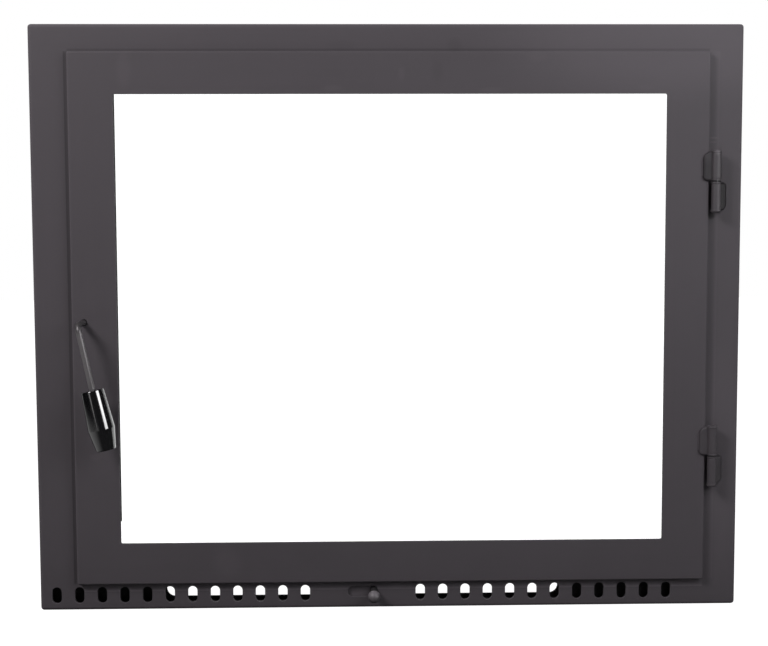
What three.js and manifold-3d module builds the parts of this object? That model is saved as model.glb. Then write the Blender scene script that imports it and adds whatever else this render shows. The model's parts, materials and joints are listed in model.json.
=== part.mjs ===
// Fireplace glass door: a folded steel frame that is built into masonry, a glazed door leaf on two
// lift-off hinges, a turning latch handle and an air slide behind the slotted bottom rail.
// Millimetres, +Z up, the front faces -Y. While the pieces are made, X runs from the middle of the
// frame, Y from the wall plane and Z from the frame's lower edge; the last group then moves the
// origin to the middle of the sill seat, the underside of the fire tunnel in the wall plane.

import * as THREE from 'three';
import { mergeVertices } from 'three/addons/utils/BufferGeometryUtils.js';
import Module from 'manifold-3d';

const wasm = await Module();
wasm.setup();

// ---------------------------------------------------------------- driving dimensions

const seatGap = 0.3; // left between pieces that touch, are welded or are screwed together

// Frame
const frameWidth = 700;
const frameHeight = 580;
const frameDepth = 30;
const frameSheet = 3;
const frameCornerRadius = 3.4;
const frameBendRadius = 3;
const backPlateSetback = 14;
const backPlateSheet = 2;

// Door leaf, from the frame's margins around it
const marginLeft = 38.8;
const marginRight = 34.5;
const marginTop = 27.5;
const marginBottom = 27.9;
const leafProud = 7;
const leafSheet = 3;
const leafLipGap = 1;
const leafCornerRadius = 2;
const leafEdgeRadius = 1.2;
const leafLap = 5;
const apertureCornerRadius = 3;

// Window, from the leaf's stiles and rails
const stileLeft = 44.1;
const stileRight = 42.2;
const railTop = 40.9;
const railBottom = 41.1;
const windowCornerRadius = 1.5;

// Glazing and seal, as distances outward from the window's edge
const glassThickness = 4;
const glassOverlap = 9;
const tapeThickness = 1.5;
const tapeInset = 1.5;
const rearTapeThickness = 1;
const flangeInset = 3.5;
const flangeInsetLeft = 0.6;
const flangeNotchHeight = 20.5;
const retainerSheet = 1.5;
const ropeWidth = 9.4;
const channelClearance = 0.3;
const channelWallHeight = 4;
const glassToChannel = 1.3;
const outerFlangeWidth = 7.2;
const ropeOuterRadius = 12;
const ropeInnerRadius = 0.8;
const ropeRounding = 2.6;
const landingInset = 10;

// Retainer screws
const screwDiameter = 4;
const screwHeadDiameter = 6.6;
const screwHeadHeight = 2.6;
const screwSocketDiameter = 3;
const screwSocketDepth = 1.6;
const screwClearance = 0.2;
const screwEndInset = 60;
const screwsPerRail = 3;
const screwsPerStile = 2;

// Fire tunnel
const tunnelOffset = 26;
const tunnelSheet = 2;
const tunnelDepth = 45;
const lugWidth = 30;
const lugSheet = 3;
const lugFoot = 35;
const lugReach = 28;
const lugBendRadius = 1;
const lugHole = 8;
const lugFromEnd = 110;

// Air slots, knob slot and air window
const slotWidth = 9.4;
const slotHeight = 16.5;
const slotBottom = 7;
const slotPitch = 22.6;
const slotPatternX = -26.9;
const slotInnerOffset = 57.9;
const slotEndMargin = 10.5;
const airSlotsPerSide = 7;
const airWindowMargin = 5.2;
const airWindowBottom = 9.4;
const airWindowHeight = 16.6;

// Air slide
const knobSlotHeight = 10.6;
const knobSlotBottom = 11.4;
const slideTravel = 22.1;
const slideSheet = 2;
const slideRunGap = 0.4;
const slideSlotGrow = 0.5;
const slideEndMargin = 12;
const slideBottomWeb = 2.2;
const slideTopWeb = 3.5;
const guideSheet = 1.5;
const guideLip = 2;
const guideOverrun = 6;
const knobDiameter = 12.4;
const knobReach = 20;
const stemDiameter = 7.6;
const studDiameter = 4;
const studNutWidth = 7;
const studNutHeight = 3;

// Hinges
const barrelDiameter = 9;
const barrelLength = 30;
const barrelFromLeaf = 6.1;
const barrelAxisProud = 10;
const barrelShoulder = 0.5;
const barrelShoulderHeight = 1.6;
const barrelDome = 1.2;
const hingeWasherHeight = 0.6;
const pinDiameter = 5;
const pinRunGap = 0.25;
const pinReach = 22;
const barrelEndWall = 5;
const tailSheet = 3;
const tailReach = 12.5;
const tailClosedRadius = 8;
const tailSplitRadius = 4;
const upperSplitFromTop = 127;
const lowerSplitFromBottom = 125.5;

// Handle and latch
const spindleFromLeafEdge = 11.8;
const spindleAboveMiddle = -0.7;
const rodDiameter = 6;
const rodReach = 35;
const rodBend = 8;
const handleLean = THREE.MathUtils.degToRad(11.8);
const gripStart = 64.5;
const gripLength = 59.5;
const gripStartDiameter = 22;
const gripWaistDiameter = 26;
const gripEndDiameter = 19;
const gripWaistAt = 38.5;
const gripEdge = 1.2;
const gripBoreDepth = 45;
const rodHoleGap = 0.4;
const bushDiameter = 12;
const bushLength = 6;
const spindleSpacerDiameter = 10;
const keeperSheet = 2;
const keeperWidth = 12;
const keeperLength = 50;
const camGap = 0.5;
const camThickness = 3.5;
const camHubDiameter = 10;
const camNoseReach = 12.5;
const camNoseRadius = 2;
const camNoseAngle = THREE.MathUtils.degToRad(72.8);
const spindleNutWidth = 9;
const spindleNutHeight = 3.2;
const spindleEndStub = 0.2;

// Roundness
const arcSteps = 3;
const turnSteps = 28;
const bevelSteps = 4;
const rodArcSteps = 8;
const rodSteps = 48;
const hexSides = 6;
const mergeTolerance = 1e-4;
const cutMargin = 5;

// ---------------------------------------------------------------- places worked out from them

const frameLeft = -frameWidth / 2;
const frameRight = frameWidth / 2;
const frameFront = -frameDepth;
const faceRear = frameFront + frameSheet;
const backPlateFront = frameFront + backPlateSetback;
const backPlateRear = backPlateFront + backPlateSheet;

const leaf = rectangle(
  frameLeft + marginLeft,
  marginBottom,
  frameRight - marginRight,
  frameHeight - marginTop,
);
const leafFront = frameFront - leafProud;
const leafRear = leafFront + leafSheet;
const leafLipRear = frameFront - leafLipGap;
const aperture = grown(leaf, -leafLap);

const pane = rectangle(
  leaf.left + stileLeft,
  leaf.bottom + railBottom,
  leaf.right - stileRight,
  leaf.top - railTop,
);
const tapeFront = leafRear + seatGap;
const glassFront = tapeFront + tapeThickness + seatGap;
const glassRear = glassFront + glassThickness;
const rearTapeFront = glassRear + seatGap;
const retainerFront = rearTapeFront + rearTapeThickness + seatGap;
const retainerRear = retainerFront + retainerSheet;
const channelRear = retainerRear + channelWallHeight;
const ropeFront = retainerRear + seatGap;
const ropeRear = backPlateFront - seatGap;
const channelInner = glassOverlap + glassToChannel;
const ropeInner = channelInner + retainerSheet + channelClearance;
const ropeOuter = ropeInner + ropeWidth;
const channelOuter = ropeOuter + channelClearance + retainerSheet;
const retainerOuter = channelOuter + outerFlangeWidth;
const screwOffset = channelOuter + outerFlangeWidth / 2;
const barRear = retainerFront - seatGap;

const tunnelInside = grown(pane, tunnelOffset);
const tunnelOutside = grown(tunnelInside, tunnelSheet);
const tunnelFront = backPlateRear + seatGap;

const slotRoom = frameWidth / 2 - Math.abs(slotPatternX) - slotEndMargin - slotWidth / 2 - slotInnerOffset;
const slotsPerSide = Math.floor(slotRoom / slotPitch) + 1;
const airSlots = Math.min(airSlotsPerSide, slotsPerSide);
const airSlotSpan = slotInnerOffset + (airSlots - 1) * slotPitch;
const airWindowHalf = airSlotSpan + airWindowMargin;

const slideFront = faceRear + slideRunGap;
const slideRear = slideFront + slideSheet;
const slideBottom = slotBottom - slideBottomWeb;
const slideTop = slotBottom + slotHeight + slideTopWeb;
const slideHalf = airSlotSpan + slideEndMargin;
const guideFront = slideRear + slideRunGap;
const knobSlotLength = slideTravel + stemDiameter + 2 * seatGap;
const knobX = slotPatternX + slideTravel / 2;
const knobZ = knobSlotBottom + knobSlotHeight / 2;
const knobY = frameFront - knobReach;

const hingeX = leaf.right + barrelFromLeaf;
const hingeY = frameFront - barrelAxisProud;
const spindleX = leaf.left + spindleFromLeafEdge;
const spindleZ = (leaf.bottom + leaf.top) / 2 + spindleAboveMiddle;
const bushRear = tapeFront + bushLength;
const spindleSpacerFront = bushRear + seatGap;
const camFront = faceRear + seatGap + keeperSheet + camGap;
const camRear = camFront + camThickness;
const spindleNutFront = camRear + seatGap;
const spindleEnd = spindleNutFront + spindleNutHeight + spindleEndStub;

// ---------------------------------------------------------------- finishes

const paint = { color: 0x4c4a4d, roughness: 0.62, metalness: 0.25 };
const innerPaint = { color: 0x3a393b, roughness: 0.75, metalness: 0.2 };
const steel = { color: 0xb4b4b2, roughness: 0.35, metalness: 0.9 };
const bakelite = { color: 0x0b0b0c, roughness: 0.12, metalness: 0 };
const ropeWhite = { color: 0xcfc9bb, roughness: 0.95, metalness: 0 };
const clearGlass = { color: 0xeef3f2, roughness: 0.03, metalness: 0, transparent: true, opacity: 0.2 };

// ---------------------------------------------------------------- small tools

function rectangle(left, bottom, right, top) {
  return { left, bottom, right, top };
}

function grown(area, by) {
  return rectangle(area.left - by, area.bottom - by, area.right + by, area.top + by);
}

function outline(path, area, radius) {
  const { left, bottom, right, top } = area;
  if (radius <= 0) {
    path.moveTo(left, bottom);
    path.lineTo(right, bottom);
    path.lineTo(right, top);
    path.lineTo(left, top);
    path.closePath();
    return path;
  }
  path.moveTo(left + radius, bottom);
  path.lineTo(right - radius, bottom);
  path.absarc(right - radius, bottom + radius, radius, -Math.PI / 2, 0, false);
  path.lineTo(right, top - radius);
  path.absarc(right - radius, top - radius, radius, 0, Math.PI / 2, false);
  path.lineTo(left + radius, top);
  path.absarc(left + radius, top - radius, radius, Math.PI / 2, Math.PI, false);
  path.lineTo(left, bottom + radius);
  path.absarc(left + radius, bottom + radius, radius, Math.PI, 1.5 * Math.PI, false);
  return path;
}

function sheetShape(area, radius, holes = []) {
  const shape = outline(new THREE.Shape(), area, radius);
  shape.holes = holes;
  return shape;
}

function opening(area, radius) {
  return outline(new THREE.Path(), area, radius);
}

function polygon(points) {
  return new THREE.Shape(points.map(([u, v]) => new THREE.Vector2(u, v)));
}

// A shape drawn in X and Z, as thick as the way from front to rear
function plate(shape, front, rear) {
  const geometry = new THREE.ExtrudeGeometry(shape, {
    depth: rear - front,
    bevelEnabled: false,
    curveSegments: arcSteps,
  });
  return toXZ(geometry).translate(0, rear, 0);
}

// The same with its front and rear edges rounded
function roundedPlate(shape, front, rear, radius) {
  const geometry = new THREE.ExtrudeGeometry(shape, {
    depth: rear - front - 2 * radius,
    bevelEnabled: true,
    bevelThickness: radius,
    bevelSize: radius,
    bevelOffset: -radius,
    bevelSegments: bevelSteps,
    curveSegments: arcSteps,
  });
  return toXZ(geometry).translate(0, rear - radius, 0);
}

function toXZ(geometry) {
  const turn = new THREE.Matrix4().makeBasis(
    new THREE.Vector3(1, 0, 0),
    new THREE.Vector3(0, 0, 1),
    new THREE.Vector3(0, -1, 0),
  );
  return geometry.applyMatrix4(turn);
}

// A shape drawn in Y and Z, drawn out from left to right
function profileAlongX(shape, left, right) {
  const geometry = new THREE.ExtrudeGeometry(shape, {
    depth: right - left,
    bevelEnabled: false,
    curveSegments: arcSteps,
  });
  const turn = new THREE.Matrix4().makeBasis(
    new THREE.Vector3(0, 1, 0),
    new THREE.Vector3(0, 0, 1),
    new THREE.Vector3(1, 0, 0),
  );
  return geometry.applyMatrix4(turn).translate(left, 0, 0);
}

function box(left, right, front, rear, bottom, top) {
  const geometry = new THREE.BoxGeometry(right - left, rear - front, top - bottom);
  return geometry.translate((left + right) / 2, (front + rear) / 2, (bottom + top) / 2);
}

function rodAlongY(diameter, front, rear, sides = turnSteps) {
  const geometry = new THREE.CylinderGeometry(diameter / 2, diameter / 2, rear - front, sides);
  return geometry.translate(0, (front + rear) / 2, 0);
}

// A body of revolution about Y from [radius, y] points that start and end on the axis
function turnedAboutY(points, steps = turnSteps) {
  return new THREE.LatheGeometry(points.map(([r, y]) => new THREE.Vector2(r, y)), steps);
}

function turnedAboutZ(points, steps = turnSteps) {
  return turnedAboutY(points, steps).rotateX(Math.PI / 2);
}

function toSolid(geometry) {
  geometry.deleteAttribute('normal');
  geometry.deleteAttribute('uv');
  const merged = mergeVertices(geometry, mergeTolerance);
  const corners = merged.index.array;
  const triangles = [];
  for (let i = 0; i < corners.length; i += 3) {
    const [a, b, c] = [corners[i], corners[i + 1], corners[i + 2]];
    if (a !== b && b !== c && c !== a) {
      triangles.push(a, b, c);
    }
  }
  const places = merged.attributes.position.array;
  if (enclosedVolume(places, triangles) < 0) {
    triangles.reverse();
  }
  return new wasm.Manifold(new wasm.Mesh({
    numProp: 3,
    vertProperties: new Float32Array(places),
    triVerts: new Uint32Array(triangles),
  }));
}

function enclosedVolume(places, triangles) {
  const corner = (i) => new THREE.Vector3().fromArray(places, 3 * triangles[i]);
  let volume = 0;
  for (let i = 0; i < triangles.length; i += 3) {
    volume += corner(i).dot(corner(i + 1).cross(corner(i + 2))) / 6;
  }
  return volume;
}

function solidOf(shapeOrSolid) {
  return shapeOrSolid.isBufferGeometry ? toSolid(shapeOrSolid) : shapeOrSolid;
}

function joined(...pieces) {
  return pieces.map(solidOf).reduce((whole, piece) => whole.add(piece));
}

function cut(body, ...cutters) {
  return cutters.reduce((rest, cutter) => rest.subtract(solidOf(cutter)), solidOf(body));
}

function common(a, b) {
  return solidOf(a).intersect(solidOf(b));
}

function piece(name, shapeOrSolid, finish) {
  const mesh = solidOf(shapeOrSolid).getMesh();
  const geometry = new THREE.BufferGeometry();
  geometry.setAttribute('position', new THREE.BufferAttribute(new Float32Array(mesh.vertProperties), 3));
  geometry.setIndex(new THREE.BufferAttribute(new Uint32Array(mesh.triVerts), 1));
  geometry.computeVertexNormals();
  const part = new THREE.Mesh(geometry, new THREE.MeshStandardMaterial(finish));
  part.name = name;
  return part;
}

function placed(object, x, y, z) {
  object.position.set(x, y, z);
  return object;
}

// ---------------------------------------------------------------- frame

// A tray folded from one sheet: its face in front and a lip all round, with the bend rounded
function foldedTray(area, front, lipRear, sheet, cornerRadius, bendRadius) {
  const block = roundedPlate(sheetShape(area, cornerRadius), front, lipRear + 2 * bendRadius, bendRadius);
  const inside = grown(area, -sheet);
  const beyond = grown(area, cutMargin);
  return cut(
    block,
    box(inside.left, inside.right, front + sheet, lipRear + cutMargin, inside.bottom, inside.top),
    box(
      beyond.left,
      beyond.right,
      lipRear,
      lipRear + cutMargin + 2 * bendRadius,
      beyond.bottom,
      beyond.top,
    ),
  );
}

function slotCentres(count) {
  const centres = [];
  for (let i = 0; i < count; i += 1) {
    const offset = slotInnerOffset + i * slotPitch;
    centres.push(slotPatternX - offset, slotPatternX + offset);
  }
  return centres;
}

function uprightSlot(x, grow) {
  const area = grown(rectangle(
    x - slotWidth / 2,
    slotBottom,
    x + slotWidth / 2,
    slotBottom + slotHeight,
  ), grow);
  const outline = sheetShape(area, (area.right - area.left) / 2);
  return plate(outline, frameFront - cutMargin, slideRear + cutMargin);
}

function frameFace() {
  const outer = rectangle(frameLeft, 0, frameRight, frameHeight);
  const tray = foldedTray(outer, frameFront, 0, frameSheet, frameCornerRadius, frameBendRadius);
  const knobSlot = rectangle(
    slotPatternX - knobSlotLength / 2,
    knobSlotBottom,
    slotPatternX + knobSlotLength / 2,
    knobSlotBottom + knobSlotHeight,
  );
  const cutFront = frameFront - cutMargin;
  const cutRear = faceRear + cutMargin;
  const slots = slotCentres(slotsPerSide).map((x) => uprightSlot(x, 0));
  const face = cut(
    tray,
    plate(sheetShape(aperture, apertureCornerRadius), cutFront, cutRear),
    plate(sheetShape(knobSlot, knobSlotHeight / 2), cutFront, cutRear),
    ...slots,
  );
  return piece('frame_face', face, paint);
}

function frameBackPlate() {
  const outer = grown(rectangle(frameLeft, 0, frameRight, frameHeight), -frameSheet - seatGap);
  const airWindow = rectangle(
    slotPatternX - airWindowHalf,
    airWindowBottom,
    slotPatternX + airWindowHalf,
    airWindowBottom + airWindowHeight,
  );
  const shape = sheetShape(outer, 0, [
    opening(grown(pane, landingInset), 0),
    opening(airWindow, airWindowHeight / 2),
  ]);
  return piece('frame_back_plate', plate(shape, backPlateFront, backPlateRear), innerPaint);
}

function fireTunnel() {
  const { left, right, bottom, top } = tunnelOutside;
  const sheet = tunnelSheet;
  return [
    piece('tunnel_floor', box(left, right, tunnelFront, tunnelDepth, bottom, bottom + sheet), innerPaint),
    piece('tunnel_roof', box(left, right, tunnelFront, tunnelDepth, top - sheet, top), innerPaint),
    ...[['left', left], ['right', right - sheet]].map(([side, x]) => piece(
      `tunnel_cheek_${side}`,
      box(x, x + sheet, tunnelFront, tunnelDepth, bottom + sheet + seatGap, top - sheet - seatGap),
      innerPaint,
    )),
  ];
}

// An angle whose foot lies on the tunnel's cheek and whose leg reaches out into the mortar
function anchorLug(name, outward, z) {
  const bend = lugSheet + lugBendRadius;
  const centre = [seatGap + bend, tunnelDepth - bend];
  const shape = new THREE.Shape();
  shape.moveTo(seatGap, tunnelDepth - lugFoot);
  shape.lineTo(seatGap + lugSheet, tunnelDepth - lugFoot);
  shape.absarc(...centre, lugBendRadius, Math.PI, Math.PI / 2, true);
  shape.lineTo(seatGap + lugReach, tunnelDepth - lugSheet);
  shape.lineTo(seatGap + lugReach, tunnelDepth);
  shape.absarc(...centre, bend, Math.PI / 2, Math.PI, false);
  const angle = new THREE.ExtrudeGeometry(shape, {
    depth: lugWidth,
    bevelEnabled: false,
    curveSegments: arcSteps,
  });
  const hole = rodAlongY(lugHole, tunnelDepth - lugFoot, tunnelDepth + cutMargin);
  hole.translate(seatGap + lugReach - lugWidth / 2, 0, lugWidth / 2);
  const lug = piece(name, cut(angle, hole), steel);
  if (outward < 0) {
    lug.rotation.y = Math.PI;
    return placed(lug, tunnelOutside.left, 0, z + lugWidth);
  }
  return placed(lug, tunnelOutside.right, 0, z);
}

function anchorLugs() {
  const lugs = [];
  for (const [side, outward] of [['left', -1], ['right', 1]]) {
    lugs.push(anchorLug(`anchor_lug_${side}_lower`, outward, tunnelOutside.bottom + lugFromEnd));
    lugs.push(anchorLug(`anchor_lug_${side}_upper`, outward, tunnelOutside.top - lugFromEnd - lugWidth));
  }
  return lugs;
}

function latchKeeper() {
  const left = aperture.left - keeperWidth;
  const front = faceRear + seatGap;
  const bottom = spindleZ - keeperLength / 2;
  const plateSolid = box(left, aperture.left, front, front + keeperSheet, bottom, bottom + keeperLength);
  return piece('latch_keeper', plateSolid, innerPaint);
}

// ---------------------------------------------------------------- air slide

function slideGuides() {
  const left = slotPatternX - slideHalf - slideTravel - guideOverrun;
  const right = slotPatternX + slideHalf + guideOverrun;
  const front = faceRear + seatGap;
  const rear = backPlateFront - seatGap;
  const lipRear = guideFront + guideSheet;
  const upper = slideTop + seatGap;
  const top = polygon([
    [front, upper],
    [guideFront, upper],
    [guideFront, slideTop - guideLip],
    [lipRear, slideTop - guideLip],
    [lipRear, upper],
    [rear, upper],
    [rear, upper + guideSheet],
    [front, upper + guideSheet],
  ]);
  const lower = slideBottom - seatGap;
  const bottom = polygon([
    [front, frameSheet + seatGap],
    [lipRear, frameSheet + seatGap],
    [lipRear, slideBottom + guideLip],
    [guideFront, slideBottom + guideLip],
    [guideFront, lower],
    [front, lower],
  ]);
  return [
    piece('slide_guide_top', profileAlongX(top, left, right), innerPaint),
    piece('slide_guide_bottom', profileAlongX(bottom, left, right), innerPaint),
  ];
}

function airSlide() {
  const area = rectangle(slotPatternX - slideHalf, slideBottom, slotPatternX + slideHalf, slideTop);
  const slots = slotCentres(airSlots).map((x) => uprightSlot(x, slideSlotGrow));
  const studHole = rodAlongY(studDiameter + 2 * seatGap, frameFront, 0).translate(knobX, 0, knobZ);
  const strip = cut(plate(sheetShape(area, 0), slideFront, slideRear), studHole, ...slots);

  const ballRadius = knobDiameter / 2;
  const seatRadius = stemDiameter / 2;
  const seatAngle = Math.asin(seatRadius / ballRadius);
  const ball = [];
  for (let i = 0; i <= turnSteps / 2; i += 1) {
    const angle = Math.PI - (i / (turnSteps / 2)) * (Math.PI - seatAngle);
    ball.push([ballRadius * Math.sin(angle), ballRadius * Math.cos(angle)]);
  }
  ball[0][0] = 0;
  ball.push([0, ballRadius * Math.cos(seatAngle)]);
  const ballRear = knobY + ballRadius * Math.cos(seatAngle);

  const shoulder = slideFront - seatGap;
  const studRear = slideRear + seatGap + studNutHeight + seatGap;
  const stem = turnedAboutY([
    [0, ballRear + seatGap],
    [seatRadius, ballRear + seatGap],
    [seatRadius, shoulder],
    [studDiameter / 2, shoulder],
    [studDiameter / 2, studRear],
    [0, studRear],
  ]);
  const nutFront = slideRear + seatGap;
  const nut = cut(
    rodAlongY(studNutWidth, nutFront, nutFront + studNutHeight, hexSides),
    rodAlongY(studDiameter + 2 * seatGap, nutFront - cutMargin, nutFront + studNutHeight + cutMargin),
  );
  return [
    piece('air_slide_plate', strip, innerPaint),
    placed(piece('air_knob_ball', turnedAboutY(ball), bakelite), knobX, knobY, knobZ),
    placed(piece('air_knob_stem', stem, steel), knobX, 0, knobZ),
    placed(piece('air_knob_nut', nut, steel), knobX, 0, knobZ),
  ];
}

// ---------------------------------------------------------------- hinges

// Half of a lift-off hinge about Z: the split end at 0, the closed end at its length
function barrelBody() {
  const r = barrelDiameter / 2;
  const ring = r + barrelShoulder;
  const waist = r - barrelShoulder;
  const top = barrelLength;
  const outer = turnedAboutZ([
    [0, 0],
    [r, 0],
    [r, barrelShoulderHeight],
    [waist, barrelShoulderHeight + barrelShoulder],
    [r, barrelShoulderHeight + 2 * barrelShoulder],
    [r, top - barrelDome - barrelShoulderHeight],
    [ring, top - barrelDome - barrelShoulderHeight],
    [ring, top - barrelDome],
    [waist, top],
    [0, top],
  ]);
  const bore = new THREE.CylinderGeometry(
    pinDiameter / 2 + pinRunGap,
    pinDiameter / 2 + pinRunGap,
    barrelLength - barrelEndWall + cutMargin,
    turnSteps,
  );
  bore.rotateX(Math.PI / 2).translate(0, 0, (barrelLength - barrelEndWall - cutMargin) / 2);
  return { outer: solidOf(outer), bore: solidOf(bore) };
}

// The tail that welds a barrel down: its section drawn in X and Y, both its far corners rounded
function barrelTail(points) {
  const strip = new THREE.ExtrudeGeometry(polygon(points), { depth: barrelLength, bevelEnabled: false });
  const tip = -tailReach;
  const top = barrelLength - barrelDome;
  const closed = tailClosedRadius;
  const split = tailSplitRadius;
  const front = new THREE.Shape();
  front.moveTo(tip + split, 0);
  front.lineTo(barrelDiameter, 0);
  front.lineTo(barrelDiameter, top);
  front.lineTo(tip + closed, top);
  front.absarc(tip + closed, top - closed, closed, Math.PI / 2, Math.PI, false);
  front.lineTo(tip, split);
  front.absarc(tip + split, split, split, Math.PI, 1.5 * Math.PI, false);
  return common(strip, plate(front, -barrelAxisProud - cutMargin, barrelAxisProud + cutMargin));
}

function hingeSet(name, splitZ) {
  const { outer, bore } = barrelBody();
  const r = barrelDiameter / 2;
  const leafFace = leafFront - hingeY - seatGap;
  const wallFace = frameFront - hingeY - seatGap;
  const doorTail = barrelTail([
    [-tailReach, leafFace],
    [-tailReach, leafFace - tailSheet],
    [0, leafFace - tailSheet],
    [0, leafFace],
  ]);
  const frameTail = barrelTail([
    [-tailReach, wallFace],
    [-tailReach, wallFace - tailSheet],
    [-r + seatGap, 0],
    [0, 0],
    [0, r - seatGap],
    [-r, wallFace],
  ]);
  const doorHalf = piece(`hinge_barrel_door_${name}`, cut(joined(outer, doorTail), bore), paint);
  // The frame's half is turned over: its closed end points down and its tail to the right.
  const frameHalf = piece(`hinge_barrel_frame_${name}`, cut(joined(outer, frameTail), bore), paint);
  frameHalf.rotation.y = Math.PI;

  const pinBottom = -(barrelLength - barrelEndWall) + seatGap;
  const pin = new THREE.CylinderGeometry(
    pinDiameter / 2,
    pinDiameter / 2,
    pinReach - pinBottom,
    turnSteps,
  );
  pin.rotateX(Math.PI / 2).translate(0, 0, (pinReach + pinBottom) / 2);
  const washer = cut(
    turnedAboutZ([[0, 0], [r, 0], [r, hingeWasherHeight], [0, hingeWasherHeight]]),
    new THREE.CylinderGeometry(
      pinDiameter / 2 + pinRunGap,
      pinDiameter / 2 + pinRunGap,
      cutMargin,
      turnSteps,
    ).rotateX(Math.PI / 2),
  );
  const washerTop = hingeWasherHeight + seatGap;
  return {
    door: placed(doorHalf, hingeX, hingeY, splitZ + washerTop),
    frame: [
      placed(frameHalf, hingeX, hingeY, splitZ - seatGap),
      placed(piece(`hinge_pin_${name}`, pin, steel), hingeX, hingeY, splitZ),
      placed(piece(`hinge_washer_${name}`, washer, steel), hingeX, hingeY, splitZ),
    ],
  };
}

// ---------------------------------------------------------------- door

function doorLeaf() {
  const tray = foldedTray(leaf, leafFront, leafLipRear, leafSheet, leafCornerRadius, leafEdgeRadius);
  const cutFront = leafFront - cutMargin;
  const cutRear = leafRear + cutMargin;
  const spindleHole = rodAlongY(rodDiameter + 2 * rodHoleGap, cutFront, cutRear);
  spindleHole.translate(spindleX, 0, spindleZ);
  return piece(
    'door_leaf',
    cut(tray, plate(sheetShape(pane, windowCornerRadius), cutFront, cutRear), spindleHole),
    paint,
  );
}

function ring(outerBy, innerBy, front, rear) {
  const shape = sheetShape(grown(pane, outerBy), 0, [opening(grown(pane, innerBy), 0)]);
  return plate(shape, front, rear);
}

function glazing() {
  const glass = plate(sheetShape(grown(pane, glassOverlap), 0), glassFront, glassRear);
  return [
    piece('glass_pane', glass, clearGlass),
    piece(
      'glass_tape_front',
      ring(glassOverlap, tapeInset, tapeFront, tapeFront + tapeThickness),
      ropeWhite,
    ),
    piece('glass_tape_rear', ring(
      glassOverlap,
      flangeInset,
      rearTapeFront,
      rearTapeFront + rearTapeThickness,
    ), ropeWhite),
  ];
}

// The screws' places along each side of the window, as [side, number, x, z]
function screwPlaces() {
  const places = [];
  const spread = (from, to, count, i) => from + ((to - from) * i) / (count - 1);
  const left = pane.left - screwOffset;
  const right = pane.right + screwOffset;
  for (const [side, z] of [['top', pane.top + screwOffset], ['bottom', pane.bottom - screwOffset]]) {
    for (let i = 0; i < screwsPerRail; i += 1) {
      const x = spread(pane.left + screwEndInset, pane.right - screwEndInset, screwsPerRail, i);
      places.push([side, i + 1, x, z]);
    }
  }
  for (const [side, x] of [['left', left], ['right', right]]) {
    for (let i = 0; i < screwsPerStile; i += 1) {
      const z = spread(pane.bottom + screwEndInset, pane.top - screwEndInset, screwsPerStile, i);
      places.push([side, i + 1, x, z]);
    }
  }
  return places;
}

function screwHoles(diameter) {
  return screwPlaces().map(([, , x, z]) => (
    rodAlongY(diameter, leafRear, backPlateFront, turnSteps / 2).translate(x, 0, z)
  ));
}

// Threaded bars, welded behind the leaf, that the retainers are screwed to
function windowBars() {
  const inner = channelOuter + seatGap;
  const holes = screwHoles(screwDiameter + 2 * screwClearance);
  const full = grown(pane, retainerOuter);
  const clear = grown(pane, inner);
  const bushGap = bushDiameter / 2 + seatGap;
  const bars = [
    ['window_bar_top', full.left, full.right, clear.top, full.top],
    ['window_bar_bottom', full.left, full.right, full.bottom, clear.bottom],
    ['window_bar_right', clear.right, full.right, clear.bottom + seatGap, clear.top - seatGap],
    ['window_bar_left_upper', full.left, clear.left, spindleZ + bushGap, clear.top - seatGap],
    ['window_bar_left_lower', full.left, clear.left, clear.bottom + seatGap, spindleZ - bushGap],
  ];
  return bars.map(([name, left, right, bottom, top]) => (
    piece(name, cut(box(left, right, tapeFront, barRear, bottom, top), ...holes), innerPaint)
  ));
}

// The retainer ring: a flange over the glass, a channel for the rope and a flange for the screws
function retainers() {
  const flange = ring(retainerOuter, flangeInset, retainerFront, retainerRear);
  const innerWall = ring(channelInner + retainerSheet, channelInner, retainerFront, channelRear);
  const outerWall = ring(channelOuter, channelOuter - retainerSheet, retainerFront, channelRear);
  const leftEdge = box(
    pane.left - glassOverlap,
    pane.left - flangeInsetLeft,
    retainerFront,
    retainerRear,
    pane.bottom + flangeNotchHeight,
    pane.top + flangeInset,
  );
  const hubCut = box(
    pane.left - retainerOuter - cutMargin,
    pane.left - channelOuter - seatGap,
    retainerFront - cutMargin,
    channelRear + cutMargin,
    spindleZ - bushDiameter / 2 - retainerSheet,
    spindleZ + bushDiameter / 2 + retainerSheet,
  );
  const whole = cut(
    joined(flange, innerWall, outerWall, leftEdge),
    hubCut,
    ...screwHoles(screwDiameter + 2 * screwClearance),
  );
  // Each side keeps what lies in its own mitred sector, with a gap left at the mitres.
  const outer = grown(pane, retainerOuter + cutMargin);
  const inner = grown(pane, -cutMargin);
  const sectors = [
    ['top', [
      [outer.left + seatGap, outer.top],
      [inner.left + seatGap, inner.top],
      [inner.right - seatGap, inner.top],
      [outer.right - seatGap, outer.top],
    ]],
    ['bottom', [
      [outer.left + seatGap, outer.bottom],
      [outer.right - seatGap, outer.bottom],
      [inner.right - seatGap, inner.bottom],
      [inner.left + seatGap, inner.bottom],
    ]],
    ['left', [
      [outer.left, outer.bottom],
      [inner.left, inner.bottom],
      [inner.left, inner.top],
      [outer.left, outer.top],
    ]],
    ['right', [
      [outer.right, outer.bottom],
      [outer.right, outer.top],
      [inner.right, inner.top],
      [inner.right, inner.bottom],
    ]],
  ];
  return sectors.map(([side, points]) => piece(
    `glass_retainer_${side}`,
    common(whole, plate(polygon(points), retainerFront - cutMargin, channelRear + cutMargin)),
    innerPaint,
  ));
}

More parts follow.
